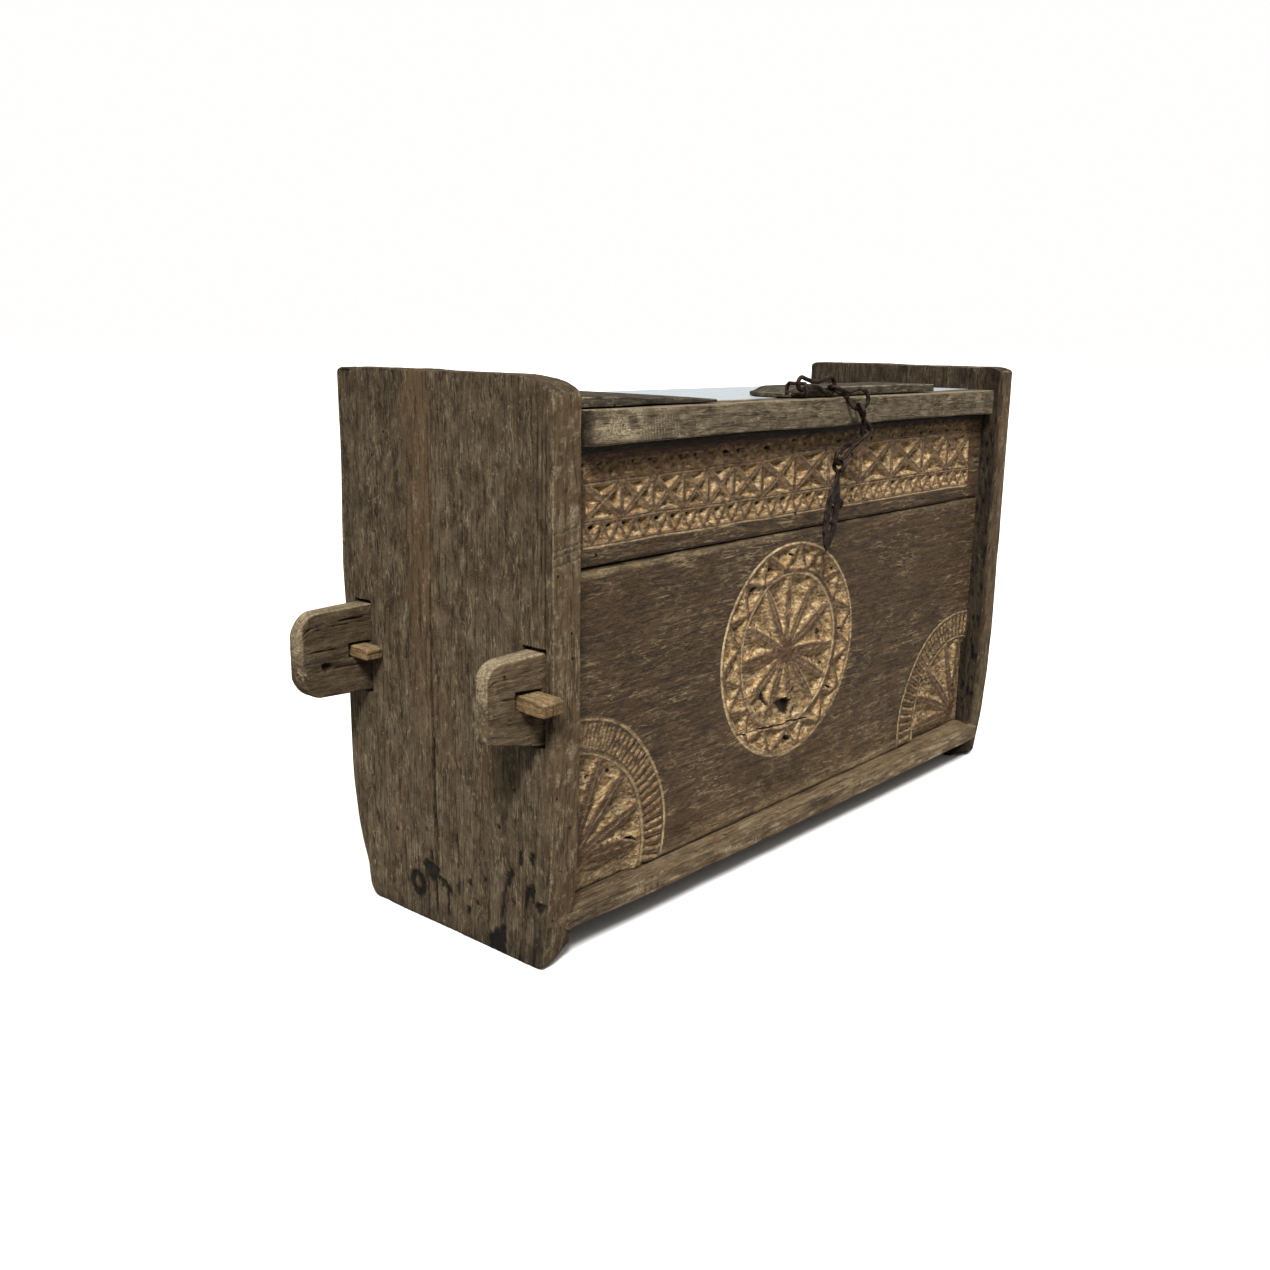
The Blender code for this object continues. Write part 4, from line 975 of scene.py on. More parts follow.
# Stains: place in Y and Z, half sizes in mm and turn
LEFT_STAINS = (
    (0.032, 0.062, 13, 11, 0.3), (0.008, 0.052, 14, 4.5, 0.5), (0.026, 0.040, 2.5, 24, 0),
    (0.005, 0.034, 2.2, 20, 0), (0.041, 0.035, 2.0, 20, 0), (-0.100, 0.091, 5, 13, 0.4),
    (-0.090, 0.055, 2.5, 26, 0.15), (-0.085, 0.014, 14, 16, 0), (-0.117, 0.116, 4, 9, 0),
    (-0.134, 0.120, 4, 8, 0), (-0.128, 0.078, 4, 14, 0.2), (-0.137, 0.086, 3.5, 11, -0.1),
    (0.030, 0.080, 2, 7, 0), (-0.061, 0.077, 3, 4, 0), (-0.048, 0.046, 3, 3.5, 0), (-0.036, 0.066, 3, 4, 0),
    (-0.032, 0.034, 3.5, 5, 0), (-0.083, 0.142, 2.5, 3, 0), (0.091, 0.094, 2, 2.5, 0),
    (0.036, 0.108, 2.5, 2.5, 0), (-0.016, 0.055, 1.5, 10, 0), (-0.150, 0.070, 8, 6, 0))


def shapes():
    return bpy.context.scene.chest_shape


def wedge_box(tenon):
    """The corners of a wedge in its slot, thinner than its solid."""
    bottom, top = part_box(tenon["wedge"])
    upper = top.z + tenon["lift"]
    bottom.z, top.z = upper - tenon["slim"] * (top.z - bottom.z), upper
    return bottom, top


def mortise(y, z, tenon, near, far, below, above):
    """The slot round a tenon, with the gap in mm on each side of it."""
    across = (tenon["y"][0] - middle_y - near * MM, tenon["y"][1] - middle_y + far * MM)
    upward = (tenon["z"][0] - below * MM, tenon["z"][1] + above * MM)
    return inside(y, z, across, upward) * 22 * MM


class CHEST_OT_end_boards(bpy.types.Operator):
    """Hewn end boards with their feet, crowned tops, mortises, splits and stains"""
    bl_idname = "chest.end_boards"
    bl_label = "End boards"

    toe_back: length("Toe set-back", "How far the foot's front corner is cut back", 15 * MM)
    heel_back: length("Heel set-back", "How far the foot's back corner is cut back", 30 * MM)
    toe_rise: length("Toe rise", "Height where the front edge starts to curve in", 220 * MM)
    heel_rise: length("Heel rise", "Height where the back edge starts to curve in", 200 * MM)
    shoulder: length("Shoulder", "How far back the top starts to fall to the front", 75 * MM)
    shoulder_drop: length("Shoulder drop", "How far the top falls at the front", 22 * MM)
    far_shoulder: length("Right shoulder", "How far back the right board's top starts to fall", 30 * MM)
    far_drop: length("Right shoulder drop", "How far the right board's top falls at the front", 9 * MM)
    toe_round: length("Toe rounding", "Height of the rounding at the foot's front corner", 9 * MM)
    heel_round: length("Heel rounding", "Height of the rounding at the foot's back corner", 26 * MM)

    def outline(self, points, shoulder, shoulder_drop):
        x, y, z = points.T
        front, back = low("left_end_board").y, high("left_end_board").y
        top = high("left_end_board").z
        share = (y - front) / (back - front)
        toe = self.toe_back * np.clip(1 - z / self.toe_rise, 0, 1) ** 2
        heel = self.heel_back * np.clip(1 - z / self.heel_rise, 0, 1) ** 2
        bulge = 2.0 * MM * (wander(z, 0.13, 5) - 1) * ramp(share, 0.6, 1.0)
        y = front + toe + share * (back - heel - front - toe) + bulge
        drop = shoulder_drop * quarter((shoulder - (y - front)) / shoulder)
        drop = drop + 0.010 * quarter((0.012 - (back - y)) / 0.012)
        drop = drop + 1.4 * MM * (0.5 + 0.5 * wander(y, 0.05, 8))
        z = z - drop * ramp(z, top - 0.09, top)
        lift = self.toe_round * quarter(1 - (y - front - self.toe_back) / (18 * MM))
        lift = lift + self.heel_round * quarter(1 - (back - self.heel_back - y) / (19 * MM))
        inner = ramp(np.abs(x - middle_x), outer_right - middle_x - 12 * MM, right_face - middle_x)
        lift = lift + 14 * MM * inner * ramp(y, front + self.toe_back + 26 * MM, front + self.toe_back)
        return np.column_stack((x, y, z + lift * ramp(z, 0.10, 0.0)))

    def left_features(self, points, outward):
        x, y, z = points.T
        y = y - middle_y
        out, front = facing(outward, 0, -1), facing(outward, 1, -1)
        cut = cracks(z, y, LEFT_SPLITS)

        # The step beside the scraped strip
        ragged = 0.0560 + 0.030 * (z - 0.35)
        ragged = ragged + 2.2 * MM * wander(z, 0.022, 15) + 1.2 * MM * wander(z, 0.007, 16)
        step = ramp(y - ragged, -1.5 * MM, 1.5 * MM) * ramp(y - ragged, 60 * MM, 20 * MM)
        tall = ramp(z, 0.33, 0.37) * ramp(z, 0.60, 0.56)
        edge_cut = groove(y - ragged, 2.4 * MM, 3.2 * MM) * tall
        open_cracks = np.maximum(cut, edge_cut)
        cut = np.maximum(cut, edge_cut + 2.2 * MM * step * tall)

        # Slanting strokes of the axe
        slanted = np.column_stack((x * 0, y * 0.8 + z * 0.6, z * 0.8 - y * 0.6))
        gouged = 1.6 * MM * (1 - np.abs(noise(slanted, (1, 0.006, 0.030), 19)))
        gouged = gouged + 1.8 * MM * (1 - np.abs(noise(slanted, (1, 0.013, 0.045), 27)))
        rough = gouged * ramp(y, 0.0, 0.06) * ramp(z, 0.26, 0.40)
        rough = rough + 0.75 * gouged * ramp(y, 0.01, -0.02) * ramp(z, 0.33, 0.44) * ramp(y, -0.14, -0.12)
        rough = rough + 0.30 * gouged * ramp(z, 0.42, 0.30)
        pocket = np.maximum(mortise(y, z, TENONS["front_panel"], 3.5, 1.0, 2.0, 3.0),
                            mortise(y, z, TENONS["back_panel"], 1.0, 1.0, 2.0, 3.0))

        # Water and iron stains near the foot
        stain = pits(y, z, LEFT_STAINS, 1.0, rim=(1.12, 0.86))
        ring = np.abs(np.hypot(y - 0.060, (z - 0.040) / 0.95) - 0.0105)
        stain = np.maximum(stain, ramp(ring, 5.6 * MM, 4.2 * MM))
        damp = ramp(z, 0.035, 0.005) * (0.5 + 0.5 * noise(points, (0.02, 0.012, 0.05), 77))
        streaks = ramp(noise(points, (0.01, 0.005, 0.035), 79), -0.1, 0.6)
        streaks = streaks * ramp(z, 0.10, 0.02) * ramp(y, -0.02, -0.10)
        stain = stain * (0.9 + 0.1 * noise(points, (0.01, 0.004, 0.01), 78))
        stain = np.clip(stain + 0.55 * damp + 0.55 * streaks, 0, 1)
        cut = np.maximum(cut, 2.2 * MM * ramp(stain, 0.5, 1.0) * (z > 0.03))

        strip = ramp(y, 0.010, 0.016) * ramp(y - ragged, 1.0 * MM, -3.0 * MM)
        strip = strip * np.where(z > 0.34, 1.0, ramp(z, 0.10, 0.34) * 0.7)
        patchy = ramp(noise(points, (1, 0.030, 0.10), 88), 0.0, 0.7) * ramp(z, 0.45, 0.25)
        bare = np.clip(strip * (0.85 + 0.3 * noise(points, (1, 0.01, 0.07), 87)) + 0.5 * patchy, 0, 1)
        smooth = 1 - 0.7 * strip
        knife = np.max([groove(z - height - 0.16 * (x - outer_left), 1.5 * MM, 1.6 * MM)
                        for height in (0.4560, 0.4395, 0.4335, 0.4245)], axis=0)
        total = np.where(out, np.maximum((cut + rough) * smooth + cut * (1 - smooth), pocket), 0)
        total = np.where(front, np.maximum(total, knife), total)
        speckle = ramp(noise(points, (0.005, 0.005, 0.008), 91), 0.1, 0.7) * front
        scored = ramp(knife, 0.2 * MM, 0.9 * MM) * front
        arris = ramp(np.minimum(np.abs(outward[:, 0]), np.abs(outward[:, 1])), 0.30, 0.65)
        arris = arris * ramp(noise(points, (0.01, 0.01, 0.02), 95), -0.6, 0.3)
        # Painted shade in the open splits and mortise slots, and in the deepest axe strokes
        dark = np.maximum(ramp(np.maximum(open_cracks, pocket), 0.4 * MM, 2.5 * MM),
                          0.42 * ramp(rough, 1.2 * MM, 3.3 * MM))
        return total, {"hollow": np.where(out, dark, 0.5 * ramp(knife, 0.4 * MM, 2.5 * MM) * front),
                       "stain": np.where(out | front, stain, 0), "bare": np.where(out, bare, 0.70 * front),
                       "rubbed": np.max([0.75 * speckle, 0.8 * scored, 0.65 * arris], axis=0)}

    def right_features(self, points, outward):
        x, y, z = points.T
        y = y - middle_y
        out, inner, front = facing(outward, 0, 1), facing(outward, 0, -1), facing(outward, 1, -1)
        cut = cracks(z, y, [
            (0.03 + 0.05 * (k % 4), 0.36 + 0.05 * (k * 5 % 6), place, 0.01 * sin(k), 1.6, 0.8 + 0.3 * (k % 3),
             3 + 2 * (k % 3), 131 + 10 * k)
            for k, place in enumerate((-0.132, -0.118, -0.060, -0.012, 0.037, 0.086, 0.121, 0.140))])
        pocket = np.max([mortise(y, z, tenon, 0.8, 0.8, 0.8, 2.5) for tenon in TENONS.values()], axis=0)
        eaten = ramp(noise(points, (0.006, 0.003, 0.012), 141), 0.15, 0.6)
        eaten = eaten * ramp(y, -0.120, -0.135) * ramp(z, 0.02, 0.08)
        total = np.where(out, np.maximum(cut, pocket), 0)
        total = np.where(inner, 0.7 * cut + 2.5 * MM * eaten, total)
        total = np.where(front, np.maximum(total, 1.8 * MM * ramp(x, 0.505, 0.498) * (1 - eaten)), total)
        # The inner face is darker, more so towards the inside of the chest
        smoke = np.where(inner, 0.15 + 0.35 * ramp(y, -0.16, -0.10), 0)
        red = np.where(inner, ramp(y, -0.120, -0.140), 0)
        stain = np.max([smoke, 0.6 * ramp(z, 0.05, 0.0), 0.70 * red], axis=0)
        return total, {"stain": stain, "bare": np.where(front, 0.45, 0.5 * red)}

    def execute(self, context):
        shape = shapes()
        mortise_y, mortise_z = [], []
        for tenon in TENONS.values():
            near, far = tenon["y"]
            mortise_y += [(near - 3.0 * MM, 1.6 * MM, 0.7 * MM), (near - 0.8 * MM, 1.2 * MM, 0.7 * MM),
                          (far + 1.0 * MM, 1.6 * MM, 0.7 * MM)]
            mortise_z += [(place, 1.6 * MM, 0.7 * MM)
                          for place in (tenon["z"][0] - 1.5 * MM, tenon["z"][1] + 3.0 * MM)]
        split_y = [(place + middle_y, 3.0 * MM, 0.9 * MM * coarse)
                   for place in (0.016, 0.0205, -0.1405, -0.1455, -0.151)]
        left_y = [*split_y, (-0.020, 122 * MM, 2.45 * MM * coarse), *mortise_y]
        left_z = [(0.082, 66 * MM, 2.25 * MM * coarse), (0.441, 22 * MM, 1.5 * MM * coarse), *mortise_z]
        for node, seed, fine, features, shoulder in (
                ("left_end_board", 11, ((), left_y, left_z), self.left_features,
                 (self.shoulder, self.shoulder_drop)),
                ("right_end_board", 71, ((), mortise_y, mortise_z), self.right_features,
                 (self.far_shoulder, self.far_drop))):
            hewn_board(node + "_hewn", node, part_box(node), 1.18 * shape.grid * coarse, shape.worn_edge,
                       shape.hewing, seed, cedar("bare"), 2, fine, features,
                       lambda points: self.outline(points, *shoulder))
        return {"FINISHED"}


class CHEST_OT_carved_front(bpy.types.Operator):
    """Chip-carved front panel and frieze"""
    bl_idname = "chest.carved_front"
    bl_label = "Carved front"

    budget: bpy.props.IntProperty(name="Triangles", description="Most triangles of a carved board",
                                  default=190000)

    def execute(self, context):
        shape = shapes()
        step = shape.carving_grid * coarse
        faces_y = low("frieze_board").y, high("frieze_board").y
        for name, node, carve, seed, wide_step, tall_step in (
                ("front_panel_carved", "front_panel", carve_panel, 201, 1.12 * step, step),
                ("frieze_carved", "frieze_board", carve_frieze, 251, step, 0.85 * step)):
            wide = cross_lines(left_face - 4 * MM, right_face + 4 * MM, wide_step)
            tall = cross_lines(low(node).z, high(node).z, tall_step)
            item = carved_board(name, wide, tall, faces_y, carve, shape.chip_depth,
                                self.budget / coarse ** 2, seed)
            seat(item, "chest", "dark_wood", node)
        return {"FINISHED"}


class CHEST_OT_tenons(bpy.types.Operator):
    """Through tenons with their tusk wedges on the left and flush ends on the right"""
    bl_idname = "chest.tenons"
    bl_label = "Tenons and wedges"

    def execute(self, context):
        for number, node in enumerate(TENONS):
            self.tenon(number, node)
        self.wedges()
        return {"FINISHED"}

    def tenon(self, number, node):
        tenon = TENONS[node]
        step = 1.6 * MM * coarse
        nose = outer_left - tenon["reach"]
        (near, far), (lower, upper) = tenon["y"], tenon["z"]
        middle = (lower + upper) / 2
        bottom, top = wedge_box(tenon)
        slot_x = (bottom.x - 1.6 * MM, outer_left + 2 * MM)
        slot_z = (bottom.z - 1.2 * MM, top.z + 1.4 * MM)

        def outline(points):
            x, y, z = points.T
            out = np.clip((outer_left - x) / tenon["reach"], 0, 1)
            depth = (y - near) / (far - near)
            y = y - depth * (far - near) * tenon["thin"] * out ** 1.6
            bow = np.where(depth < 0.6, (0.6 - depth) / 0.6, 0.6 * (depth - 0.6) / 0.4) ** 2
            x = x + tenon["bull"] * bow * ramp(out, 0.65, 1.0)
            for (reach, height), edge_z in ((tenon["top"], upper), (tenon["low"], lower)):
                inset = height * quarter((reach - (x - nose)) / reach)
                z = z - np.sign(edge_z - middle) * inset * np.clip((z - middle) / (edge_z - middle), 0, 1)
            z = z + tenon["rise"] * out * np.clip((upper - z) / (upper - lower), 0, 1)
            return np.column_stack((x, y, z))

        def features(points, outward):
            x, y, z = points.T
            rows = [(nose - 0.02, outer_left + 0.03, lower + share * (upper - lower), 0.03, 1.4, wide, deep,
                     301 + 20 * number + seed)
                    for share, wide, deep, seed in (
                        (0.53, 0.9, 3.0, 0), (0.30, 0.7, 2.0, 5), (0.78, 0.8, 2.2, 10))]
            if node == "back_panel":
                rows.append((nose - 0.02, outer_left + 0.02, 0.333, 0.04, 1.2, 1.1, 4, 391))
            cut = cracks(x, z, rows)
            if node == "back_panel":
                cut = np.maximum(cut, pit(x, z, (-0.498, 0.285), (7 * MM, 5 * MM), 5 * MM))
            cut = np.where(facing(outward, 0, -1), 0.6 * cut, cut)
            weather = ramp(outward[:, 2], 0.1, 0.7) * (0.75 + 0.25 * noise(points, (0.012, 0.006, 0.01), 371))
            nose_end = ramp(-outward[:, 0], 0.3, 0.9) * ramp(z, middle - 0.03, middle + 0.02)
            spots = ramp(noise(points, (0.006, 0.004, 0.005), 373), 0.2, 0.7) * ramp(x, nose + 14 * MM, nose)
            weather = np.max([weather, 0.75 * nose_end, 0.8 * spots], axis=0)
            dim = 0.40 if node == "back_panel" else 0.17
            slot = inside(x, z, slot_x, slot_z) * 9 * MM
            faces = facing(outward, 1, -1) | facing(outward, 1, 1)
            return (np.where(faces, np.maximum(cut, slot), cut),
                    {"rubbed": weather * (1 - dim), "stain": dim * (1 - weather)})

        fine_x = ((slot_x[0], 1.5 * MM, 0.7 * MM),)
        fine_z = tuple((place, 1.5 * MM, 0.7 * MM) for place in slot_z)
        side = node.split("_")[0]
        corners = (nose, near, lower), (left_face - 3 * MM, far, upper)
        hewn_board(side + "_left_tenon", node, corners, step, 2.4 * MM, 0.9 * MM, 311 + number,
                   cedar("tenon"), 0, (fine_x, (), fine_z), features, outline, slot="dark_wood")
        corners = (right_face + 3 * MM, near, lower), (high(node).x, far, upper)
        hewn_board(side + "_right_tenon", node, corners, 1.4 * step, 1.6 * MM, 0.7 * MM, 321 + number,
                   cedar("rail"), slot="dark_wood")

    def wedges(self):
        wood = paints()
        bleached = [(a + b) / 2 for a, b in zip(wood.wedge, wood.weathered_pale)]
        pale = weathered_cedar("split_wedge_wood", 1, wood.wedge, [0.35 * p for p in wood.wedge],
                               bleached, (0.60, 0.78), 0.85, 0.6, 0.3)
        for number, tenon in enumerate(TENONS.values()):
            bottom, top = wedge_box(tenon)

            def outline(points):
                x, y, z = points.T
                share = (y - bottom.y) / (top.y - bottom.y)
                x = top.x - (top.x - x) * (1 - 0.19 * share)
                nose = ramp(share, 0.14, 0.0)
                z = z - 3.0 * MM * nose * (z - bottom.z) / (top.z - bottom.z)
                x = x + 2.0 * MM * nose * (top.x - x) / (top.x - bottom.x)
                return np.column_stack((x, y, z))

            def features(points, outward):
                x, y, z = points.T
                ends = (bottom.y - 0.02, top.y + 0.02)
                places = bottom.x + 0.45 * (top.x - bottom.x), bottom.z + 0.55 * (top.z - bottom.z)
                cut = crack(y, x, *ends, places[0], 0.05, 1.0, 0.8, 2.5, 341 + number)
                side_cut = crack(y, z, *ends, places[1], 0.04, 1.0, 0.7, 1.6, 351 + number)
                upper = ramp(outward[:, 2], 0.2, 0.8)
                return np.maximum(cut, side_cut), {
                    "rubbed": 0.55 * upper, "stain": 0.30 * ramp(-outward[:, 1], 0.4, 0.9) + 0.15 * upper}

            hewn_board(tenon["wedge"] + "_split", tenon["wedge"], (bottom, top), 1.3 * MM * coarse, 1.8 * MM,
                       0.9 * MM, 331 + number, pale, 1, features=features, outline=outline, slot="wedge_wood")
        for node in ("front_right_wedge", "back_right_wedge"):
            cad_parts[node].data.materials.clear()
            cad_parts[node].data.materials.append(pale)


# The rail stands proud of the boards behind it before this place in Y
PROUD_Y = -0.1335


class CHEST_OT_rails(bpy.types.Operator):
    """Front and back rails and sills"""
    bl_idname = "chest.rails"
    bl_label = "Rails and sills"

    rail_left_gap: length("Left gap", "Gap at the front rail's left end", 16.5 * MM)
    rail_right_gap: length("Right gap", "Gap at the front rail's right end", 8.5 * MM)

    def rail_features(self, points, outward):
        x, y, z = points.T
        u = x - middle_x
        front = facing(outward, 1, -1)
        cut = np.zeros(len(points))
        scratch = np.zeros(len(points))
        faint = np.clip(0.45 + 0.9 * noise(points, (0.007, 0.01, 0.010), 407), 0, 1)
        lean = u + 0.10 * (z - 0.555) + 0.4 * MM * wander(z, 0.01, 401)
        for start, end, step, deep in (
                (-0.353, -0.285, 4.6, 1.0), (-0.315, -0.290, 3.0, 0.7), (-0.105, -0.062, 4.2, 0.7),
                (0.225, 0.262, 4.5, 0.6), (0.330, 0.350, 5.0, 0.4)):
            where = ramp(u, start, start + 4 * MM) * ramp(u, end, end - 4 * MM)
            wave = np.abs(((lean - start) / (step * MM)) % 1.0 - 0.5) * step * MM
            line = groove(wave, 0.9 * MM, 0.8 * MM * deep) * where * faint
            cut = np.maximum(cut, line)
            scratch = np.maximum(scratch, 1.2 * ramp(line, 0.1 * MM, 0.6 * MM) * deep)
        crust = ramp(noise(points, (0.014, 0.01, 0.010), 403), -0.55, 0.15) * ramp(u, -0.340, -0.365)
        crust = crust * ramp(u, -0.428, -0.405) * ramp(z, 0.540, 0.548)
        patch = 0.35 * ramp(noise(points, (0.03, 0.01, 0.010), 405), 0.1, 0.6) * ramp(u, -0.15, -0.26)
        start = left_face + self.rail_left_gap
        # Painted shade on the rail's cut-back end, beside the end board
        recess = ramp(x, start + 9 * MM, start + 1 * MM)
        rubbed = np.clip(0.8 * crust + 0.75 * scratch + patch, 0, 1)
        hollow = np.maximum(0.9 * recess, 0.3 * ramp(cut, 0.2 * MM, 0.8 * MM))
        return front * cut, {"rubbed": np.where(front, rubbed, 0.5 * (y < PROUD_Y)), "hollow": front * hollow}

    def rail_outline(self, points):
        x, y, z = points.T
        u = x - middle_x
        lower = 1.6 * MM * wander(u, 0.16, 411) - 1.8 * MM * ramp(u, -0.25, -0.42)
        z = z + (y < PROUD_Y) * (1 - shares(points, "front_top_rail")[2]) * lower
        front = low("frieze_board").y + 1 * MM
        start = left_face + self.rail_left_gap
        end = right_face - self.rail_right_gap
        y = np.where((x < start) | (x > end), np.maximum(y, front), y)
        turn = np.clip((start + 12 * MM - x) / (12 * MM), 0, 1) * (x >= start)
        y = np.where(y < front, y + 13 * MM * quarter(turn, 0.96), y)
        return np.column_stack((x, y, z))

    def sill_features(self, points, outward):
        x, y, z = points.T
        u = x - middle_x
        front = facing(outward, 1, -1)
        nicks = np.max([groove(u - place - 0.1 * (z - 0.045), 1.1 * MM, deep * MM) for place, deep in (
            (-0.333, 2.2), (-0.323, 2.2), (-0.312, 2.0), (-0.302, 1.6), (-0.128, 1.8), (-0.122, 1.4),
            (-0.112, 1.8), (0.098, 1.6), (0.112, 2.0), (0.124, 1.8))], axis=0)
        lengthwise = cracks(u, y, [(-0.46 + 0.2 * k, 0.25 + 0.1 * k, place, -0.012, 1.2, 0.9, 2.5, 421 + k)
                                   for k, place in enumerate((-0.1420, -0.1465, -0.1385))])
        cut = np.where(facing(outward, 2, 1), lengthwise, front * nicks)
        return cut, {"rubbed": 0.6 * front * ramp(noise(points, (0.02, 0.01, 0.004), 431), 0.0, 0.6)}

    def sill_outline(self, points):
        x, y, z = points.T
        _, share, level = shares(points, "front_sill")
        z = z - 4.5 * MM * level * ramp(share, 0.55, 0.0)
        span = (x - left_face) / (right_face - left_face)
        y = y + (1 - share) * (4.0 * MM - 9.0 * MM * span)
        z = z + (1 - share) * (1 - level) * 2.5 * MM * ramp(span, 0.12, 0.0)
        z = z - (1 - level) * 1.5 * MM * np.sin(pi * np.clip(span, 0, 1))
        return np.column_stack((x, y, z))

    def execute(self, context):
        step = 1.9 * MM * coarse
        fine_x = ((left_face + self.rail_left_gap, 1.6 * MM, 0.6 * MM),
                  (right_face - self.rail_right_gap, 1.6 * MM, 0.6 * MM),
                  (middle_x - 0.320, 36 * MM, 0.9 * MM * coarse),
                  (middle_x - 0.084, 24 * MM, 1.1 * MM * coarse))
        hewn_board("front_rail_hewn", "front_top_rail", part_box("front_top_rail"), step, 3.4 * MM, 1.2 * MM,
                   441, cedar("rail"), 0, (fine_x, (), ()), self.rail_features, self.rail_outline)
        hewn_board("front_sill_hewn", "front_sill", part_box("front_sill"), step, 3.0 * MM, 1.4 * MM, 451,
                   cedar("tenon"), features=self.sill_features, outline=self.sill_outline)
        for number, node in enumerate(("back_top_rail", "back_sill")):
            hewn_board(node + "_hewn", node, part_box(node), 1.6 * step, 2.5 * MM, 1.2 * MM, 461 + number,
                       cedar("rail"))
        return {"FINISHED"}


class CHEST_OT_back_and_floor(bpy.types.Operator):
    """Back boards and floor boards"""
    bl_idname = "chest.back_and_floor"
    bl_label = "Back and floor"

    def execute(self, context):
        nodes = {"back_panel": 2, "back_upper_board": 2, "floor_board_front": 1, "floor_board_back": 1}
        for number, (node, axis) in enumerate(nodes.items()):
            bottom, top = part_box(node)
            bottom.x = left_face - 4 * MM
            top.x = right_face + 4 * MM
            if node == "back_panel":
                top.y = high("back_upper_board").y

            def features(points, outward):
                rows = []
                for k in range(5):
                    share = 0.12 + 0.19 * k + 0.04 * sin(7 * k + number)
                    start = left_face + (0.1 * sin(3.1 * k + number) + 0.15) * 0.9
                    rows.append((start - 0.2, start + 0.55, bottom[axis] + share * (top[axis] - bottom[axis]),
                                 0.006 * sin(5 * k), 1.5, 1.4, 3.0, 501 + 10 * number + k))
                return cracks(points[:, 0], points[:, axis], rows), {}

            hewn_board(node + "_hewn", node, (bottom, top), 3.6 * MM * coarse, 2.0 * MM, 1.4 * MM,
                       511 + number, cedar("back"), features=features, slot="dark_wood")
        return {"FINISHED"}


class CHEST_OT_lid(bpy.types.Operator):
    """Lid board and the two planks pinned on it"""
    bl_idname = "chest.lid"
    bl_label = "Lid"

    def left_outline(self, points):
        x, y, z = points.T
        share, front, level = shares(points, "lid_left_plank")
        z = z + level * (3.8 * MM * ramp(share, 0.60, 0.0) - 4.8 * MM * ramp(share, 0.45, 1.0))
        x = x - 18 * MM * ramp(share, 0.7, 1.0) * (1 - front) ** 3
        z = z + 0.7 * MM * level * wander(x, 0.05, 601)
        return np.column_stack((x, y, z))

    def right_outline(self, points):
        x, y, z = points.T
        share, front, level = shares(points, "lid_right_plank")
        z = z - level * 6.5 * MM * ramp(share, 0.17, 0.0) ** 2
        x = x + 22 * MM * ramp(share, 0.2, 0.0) * (2 * front - 1) ** 2
        z = z - level * 1.5 * MM * ramp(share, 0.85, 1.0)
        return np.column_stack((x, y, z))

    def underside(self, points, outward):
        below = ramp(outward[:, 2], 0.5, -0.2)
        return 0 * below, {"bare": below, "stain": 0.22 * below}

    def execute(self, context):
        bottom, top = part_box("lid_board")
        bottom.x = left_face + 1.2 * MM
        top.x = right_face - 1.2 * MM
        hewn_board("lid_board_worn", "lid_board", (bottom, top), 3.4 * MM * coarse, 2.4 * MM, 0.5 * MM, 611,
                   cedar("lid"), features=self.underside, body="lid", slot="lid_wood")
        for node, step, seed, outline in (("lid_left_plank", 2.4, 621, self.left_outline),
                                          ("lid_right_plank", 2.0, 631, self.right_outline)):
            hewn_board(node + "_worn", node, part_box(node), step * MM * coarse, 2.2 * MM, 0.8 * MM, seed,
                       cedar("plank"), outline=outline, body="lid", slot="lid_wood")
        return {"FINISHED"}


class CHEST_OT_ironwork(bpy.types.Operator):
    """Forged staples, chain links and hasp"""
    bl_idname = "chest.ironwork"
    bl_label = "Ironwork"

    def execute(self, context):
        settings = context.scene.chest_iron
        metal = forged_iron(settings)
        bodies = {"frieze_staple": "chest", "lid_staple": "lid", "chain_link_1": "link_1",
                  "chain_link_2": "link_2", "chain_link_3": "link_3", "chain_link_4": "link_4",
                  "hasp": "hasp_plate"}
        for number, (node, body) in enumerate(bodies.items()):
            bm = bmesh.new()
            bm.from_mesh(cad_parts[node].data)
            bmesh.ops.remove_doubles(bm, verts=bm.verts, dist=WELD)
            item = new_item(node + "_forged", new_mesh(bm, node + "_forged"))
            even = item.modifiers.new("even", "REMESH")
            even.mode = "VOXEL"
            even.voxel_size = settings.voxel * coarse
            mesh = item.data = applied(item)
            item.modifiers.clear()
            bm = bmesh.new()
            bm.from_mesh(mesh)
            for _ in range(4):
                bmesh.ops.smooth_vert(bm, verts=bm.verts, factor=0.5, use_axis_x=True, use_axis_y=True,
                                      use_axis_z=True)
            bm.to_mesh(mesh)
            bm.free()
            points = read_points(mesh)
            normals = read_points(mesh, "normal")
            dent = noise(points, (6 * MM, 6 * MM, 6 * MM), 701 + number) - 0.35
            dent = dent + 0.4 * noise(points, (2 * MM, 2 * MM, 2 * MM), 711 + number)
            write_points(mesh, points + normals * (dent * settings.dents * 0.7 + 0.12 * MM)[:, None])
            mesh.shade_smooth()
            mesh.materials.clear()
            mesh.materials.append(metal)
            seat(item, body, "forged_iron", node)
        return {"FINISHED"}


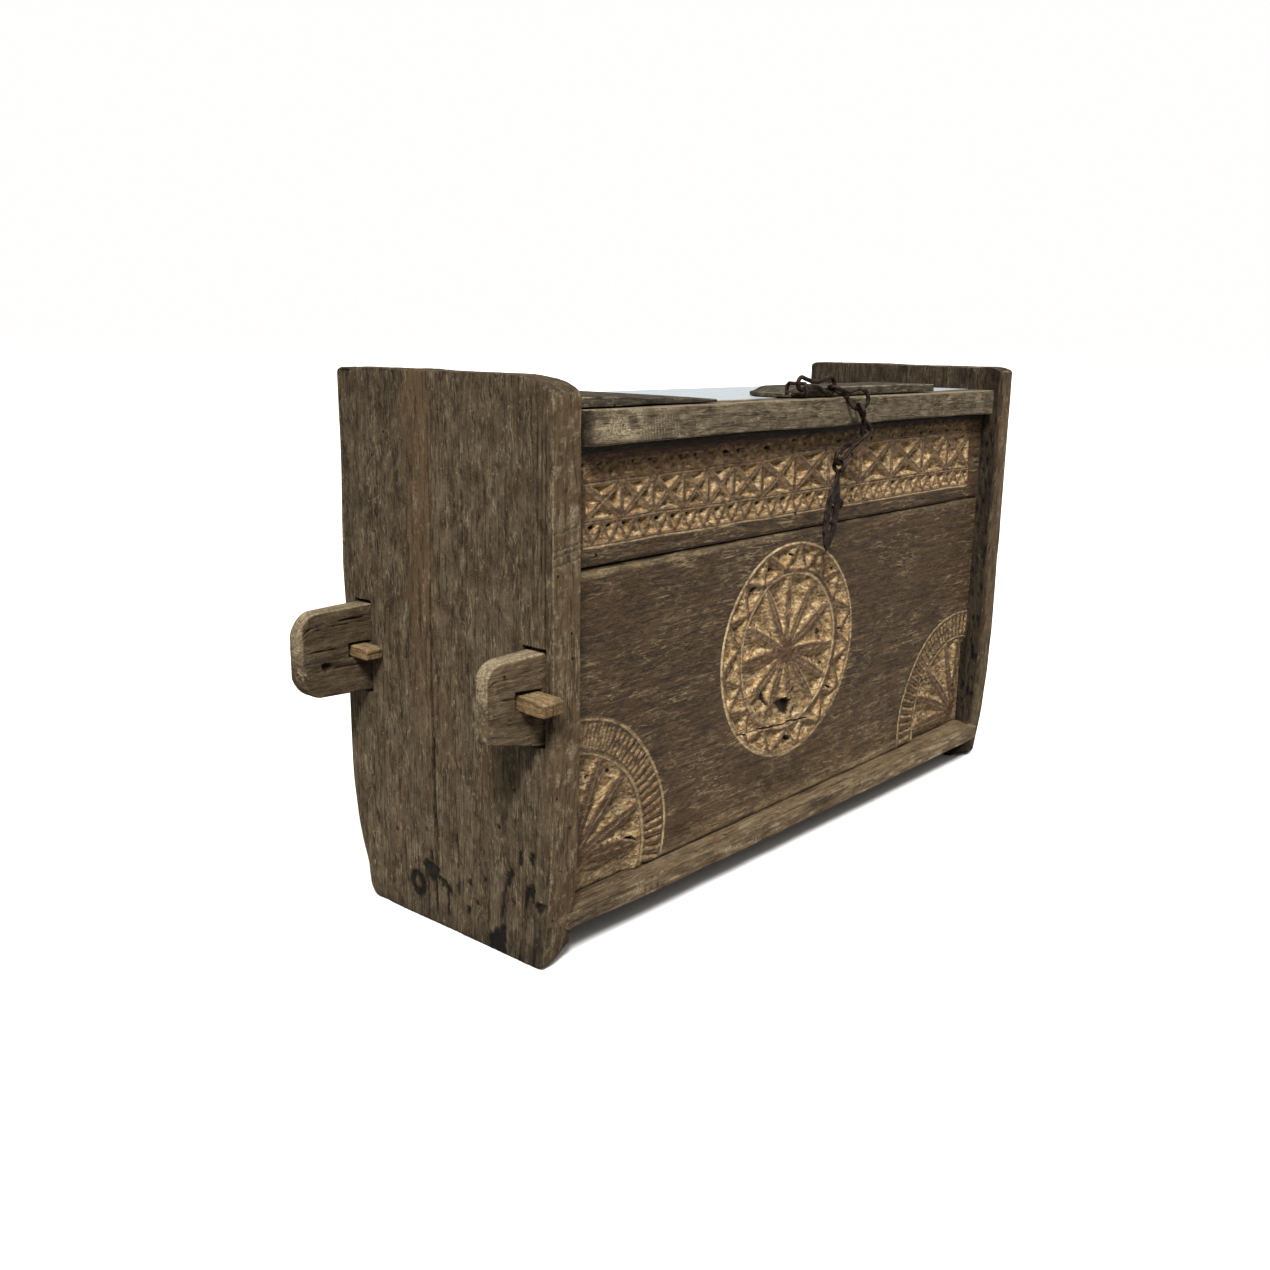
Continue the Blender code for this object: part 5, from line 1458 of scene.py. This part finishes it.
class CHEST_OT_stage(bpy.types.Operator):
    """Floor, soft studio light and camera"""
    bl_idname = "chest.stage"
    bl_label = "Stage"

    def execute(self, context):
        stage = context.scene.chest_stage
        bm = bmesh.new()
        bmesh.ops.create_grid(bm, x_segments=1, y_segments=1, size=60.0)
        floor = new_item("floor", new_mesh(bm, "floor"))
        paper = Paint("matt_studio_paper")
        direct = paper.node("ShaderNodeLightPath")["Is Camera Ray"]
        paper.link(paper.mix(direct, tint(stage.floor, 0.3), tint(stage.floor)), "Base Color")
        paper.inputs["Roughness"].default_value = 0.95
        paper.inputs["Specular IOR Level"].default_value = 0.0
        floor.data.materials.append(paper.material)
        self.light(context, stage)
        self.camera(context, stage)
        return {"FINISHED"}

    def light(self, context, stage):
        world = bpy.data.worlds.new("studio")
        world.use_nodes = True
        sky = world.node_tree
        white = sky.nodes["Background"]
        white.inputs["Color"].default_value = (1.0, 0.995, 0.985, 1.0)
        seen = add_node(sky, "ShaderNodeLightPath").outputs["Is Camera Ray"]
        level = add_node(sky, "ShaderNodeMapRange", {"Value": seen, "To Min": stage.ambient, "To Max": 1.0})
        sky.links.new(level.outputs[0], white.inputs["Strength"])
        context.scene.world = world
        for name, toward, angle, power in (("key", (-0.70, -0.58, 1.05), 16, stage.key),
                                           ("fill", (0.2, -0.6, 1.6), 60, 0.20 * stage.key)):
            light = bpy.data.lights.new(name, "SUN")
            light.energy = power
            light.angle = radians(angle)
            new_item(name, light).rotation_euler = Vector(toward).to_track_quat("Z", "Y").to_euler()

    def camera(self, context, stage):
        camera = bpy.data.cameras.new("camera")
        camera.lens = stage.lens
        camera.sensor_width = 36
        eye = new_item("camera", camera)
        eye.location = stage.camera
        view = (Vector(stage.target) - Vector(stage.camera)).to_track_quat("-Z", "Y")
        eye.rotation_euler = (view @ Quaternion((0, 0, 1), stage.roll)).to_euler()
        context.scene.camera = eye
        context.scene.view_settings.view_transform = "Standard"


class CHEST_PT_panel(bpy.types.Panel):
    """Sizes, colours and parts of the storage chest"""
    bl_label = "Storage chest"
    bl_idname = "CHEST_PT_panel"
    bl_space_type = "VIEW_3D"
    bl_region_type = "UI"
    bl_category = "Chest"

    def draw(self, context):
        for group in GROUPS:
            box = self.layout.box()
            settings = getattr(context.scene, group)
            for name in settings.bl_rna.properties.keys():
                if name not in {"rna_type", "name"}:
                    box.prop(settings, name)
        for operator in OPERATORS:
            self.layout.operator(operator.bl_idname)


GROUPS = {"chest_wood": ChestWood, "chest_shape": ChestShape, "chest_iron": ChestIron,
          "chest_stage": ChestStage}
OPERATORS = (CHEST_OT_stage, CHEST_OT_end_boards, CHEST_OT_carved_front, CHEST_OT_tenons, CHEST_OT_rails,
             CHEST_OT_back_and_floor, CHEST_OT_lid, CHEST_OT_ironwork)


def register():
    for kind in (*GROUPS.values(), *OPERATORS, CHEST_PT_panel):
        bpy.utils.register_class(kind)
    for name, group in GROUPS.items():
        setattr(bpy.types.Scene, name, PointerProperty(type=group))


def unregister():
    for name in GROUPS:
        delattr(bpy.types.Scene, name)
    for kind in (CHEST_PT_panel, *reversed(OPERATORS), *reversed(GROUPS.values())):
        bpy.utils.unregister_class(kind)


def main():
    register()
    for operator in OPERATORS:
        section, name = operator.bl_idname.split(".")
        getattr(getattr(bpy.ops, section), name)()


if __name__ == "__main__":
    main()
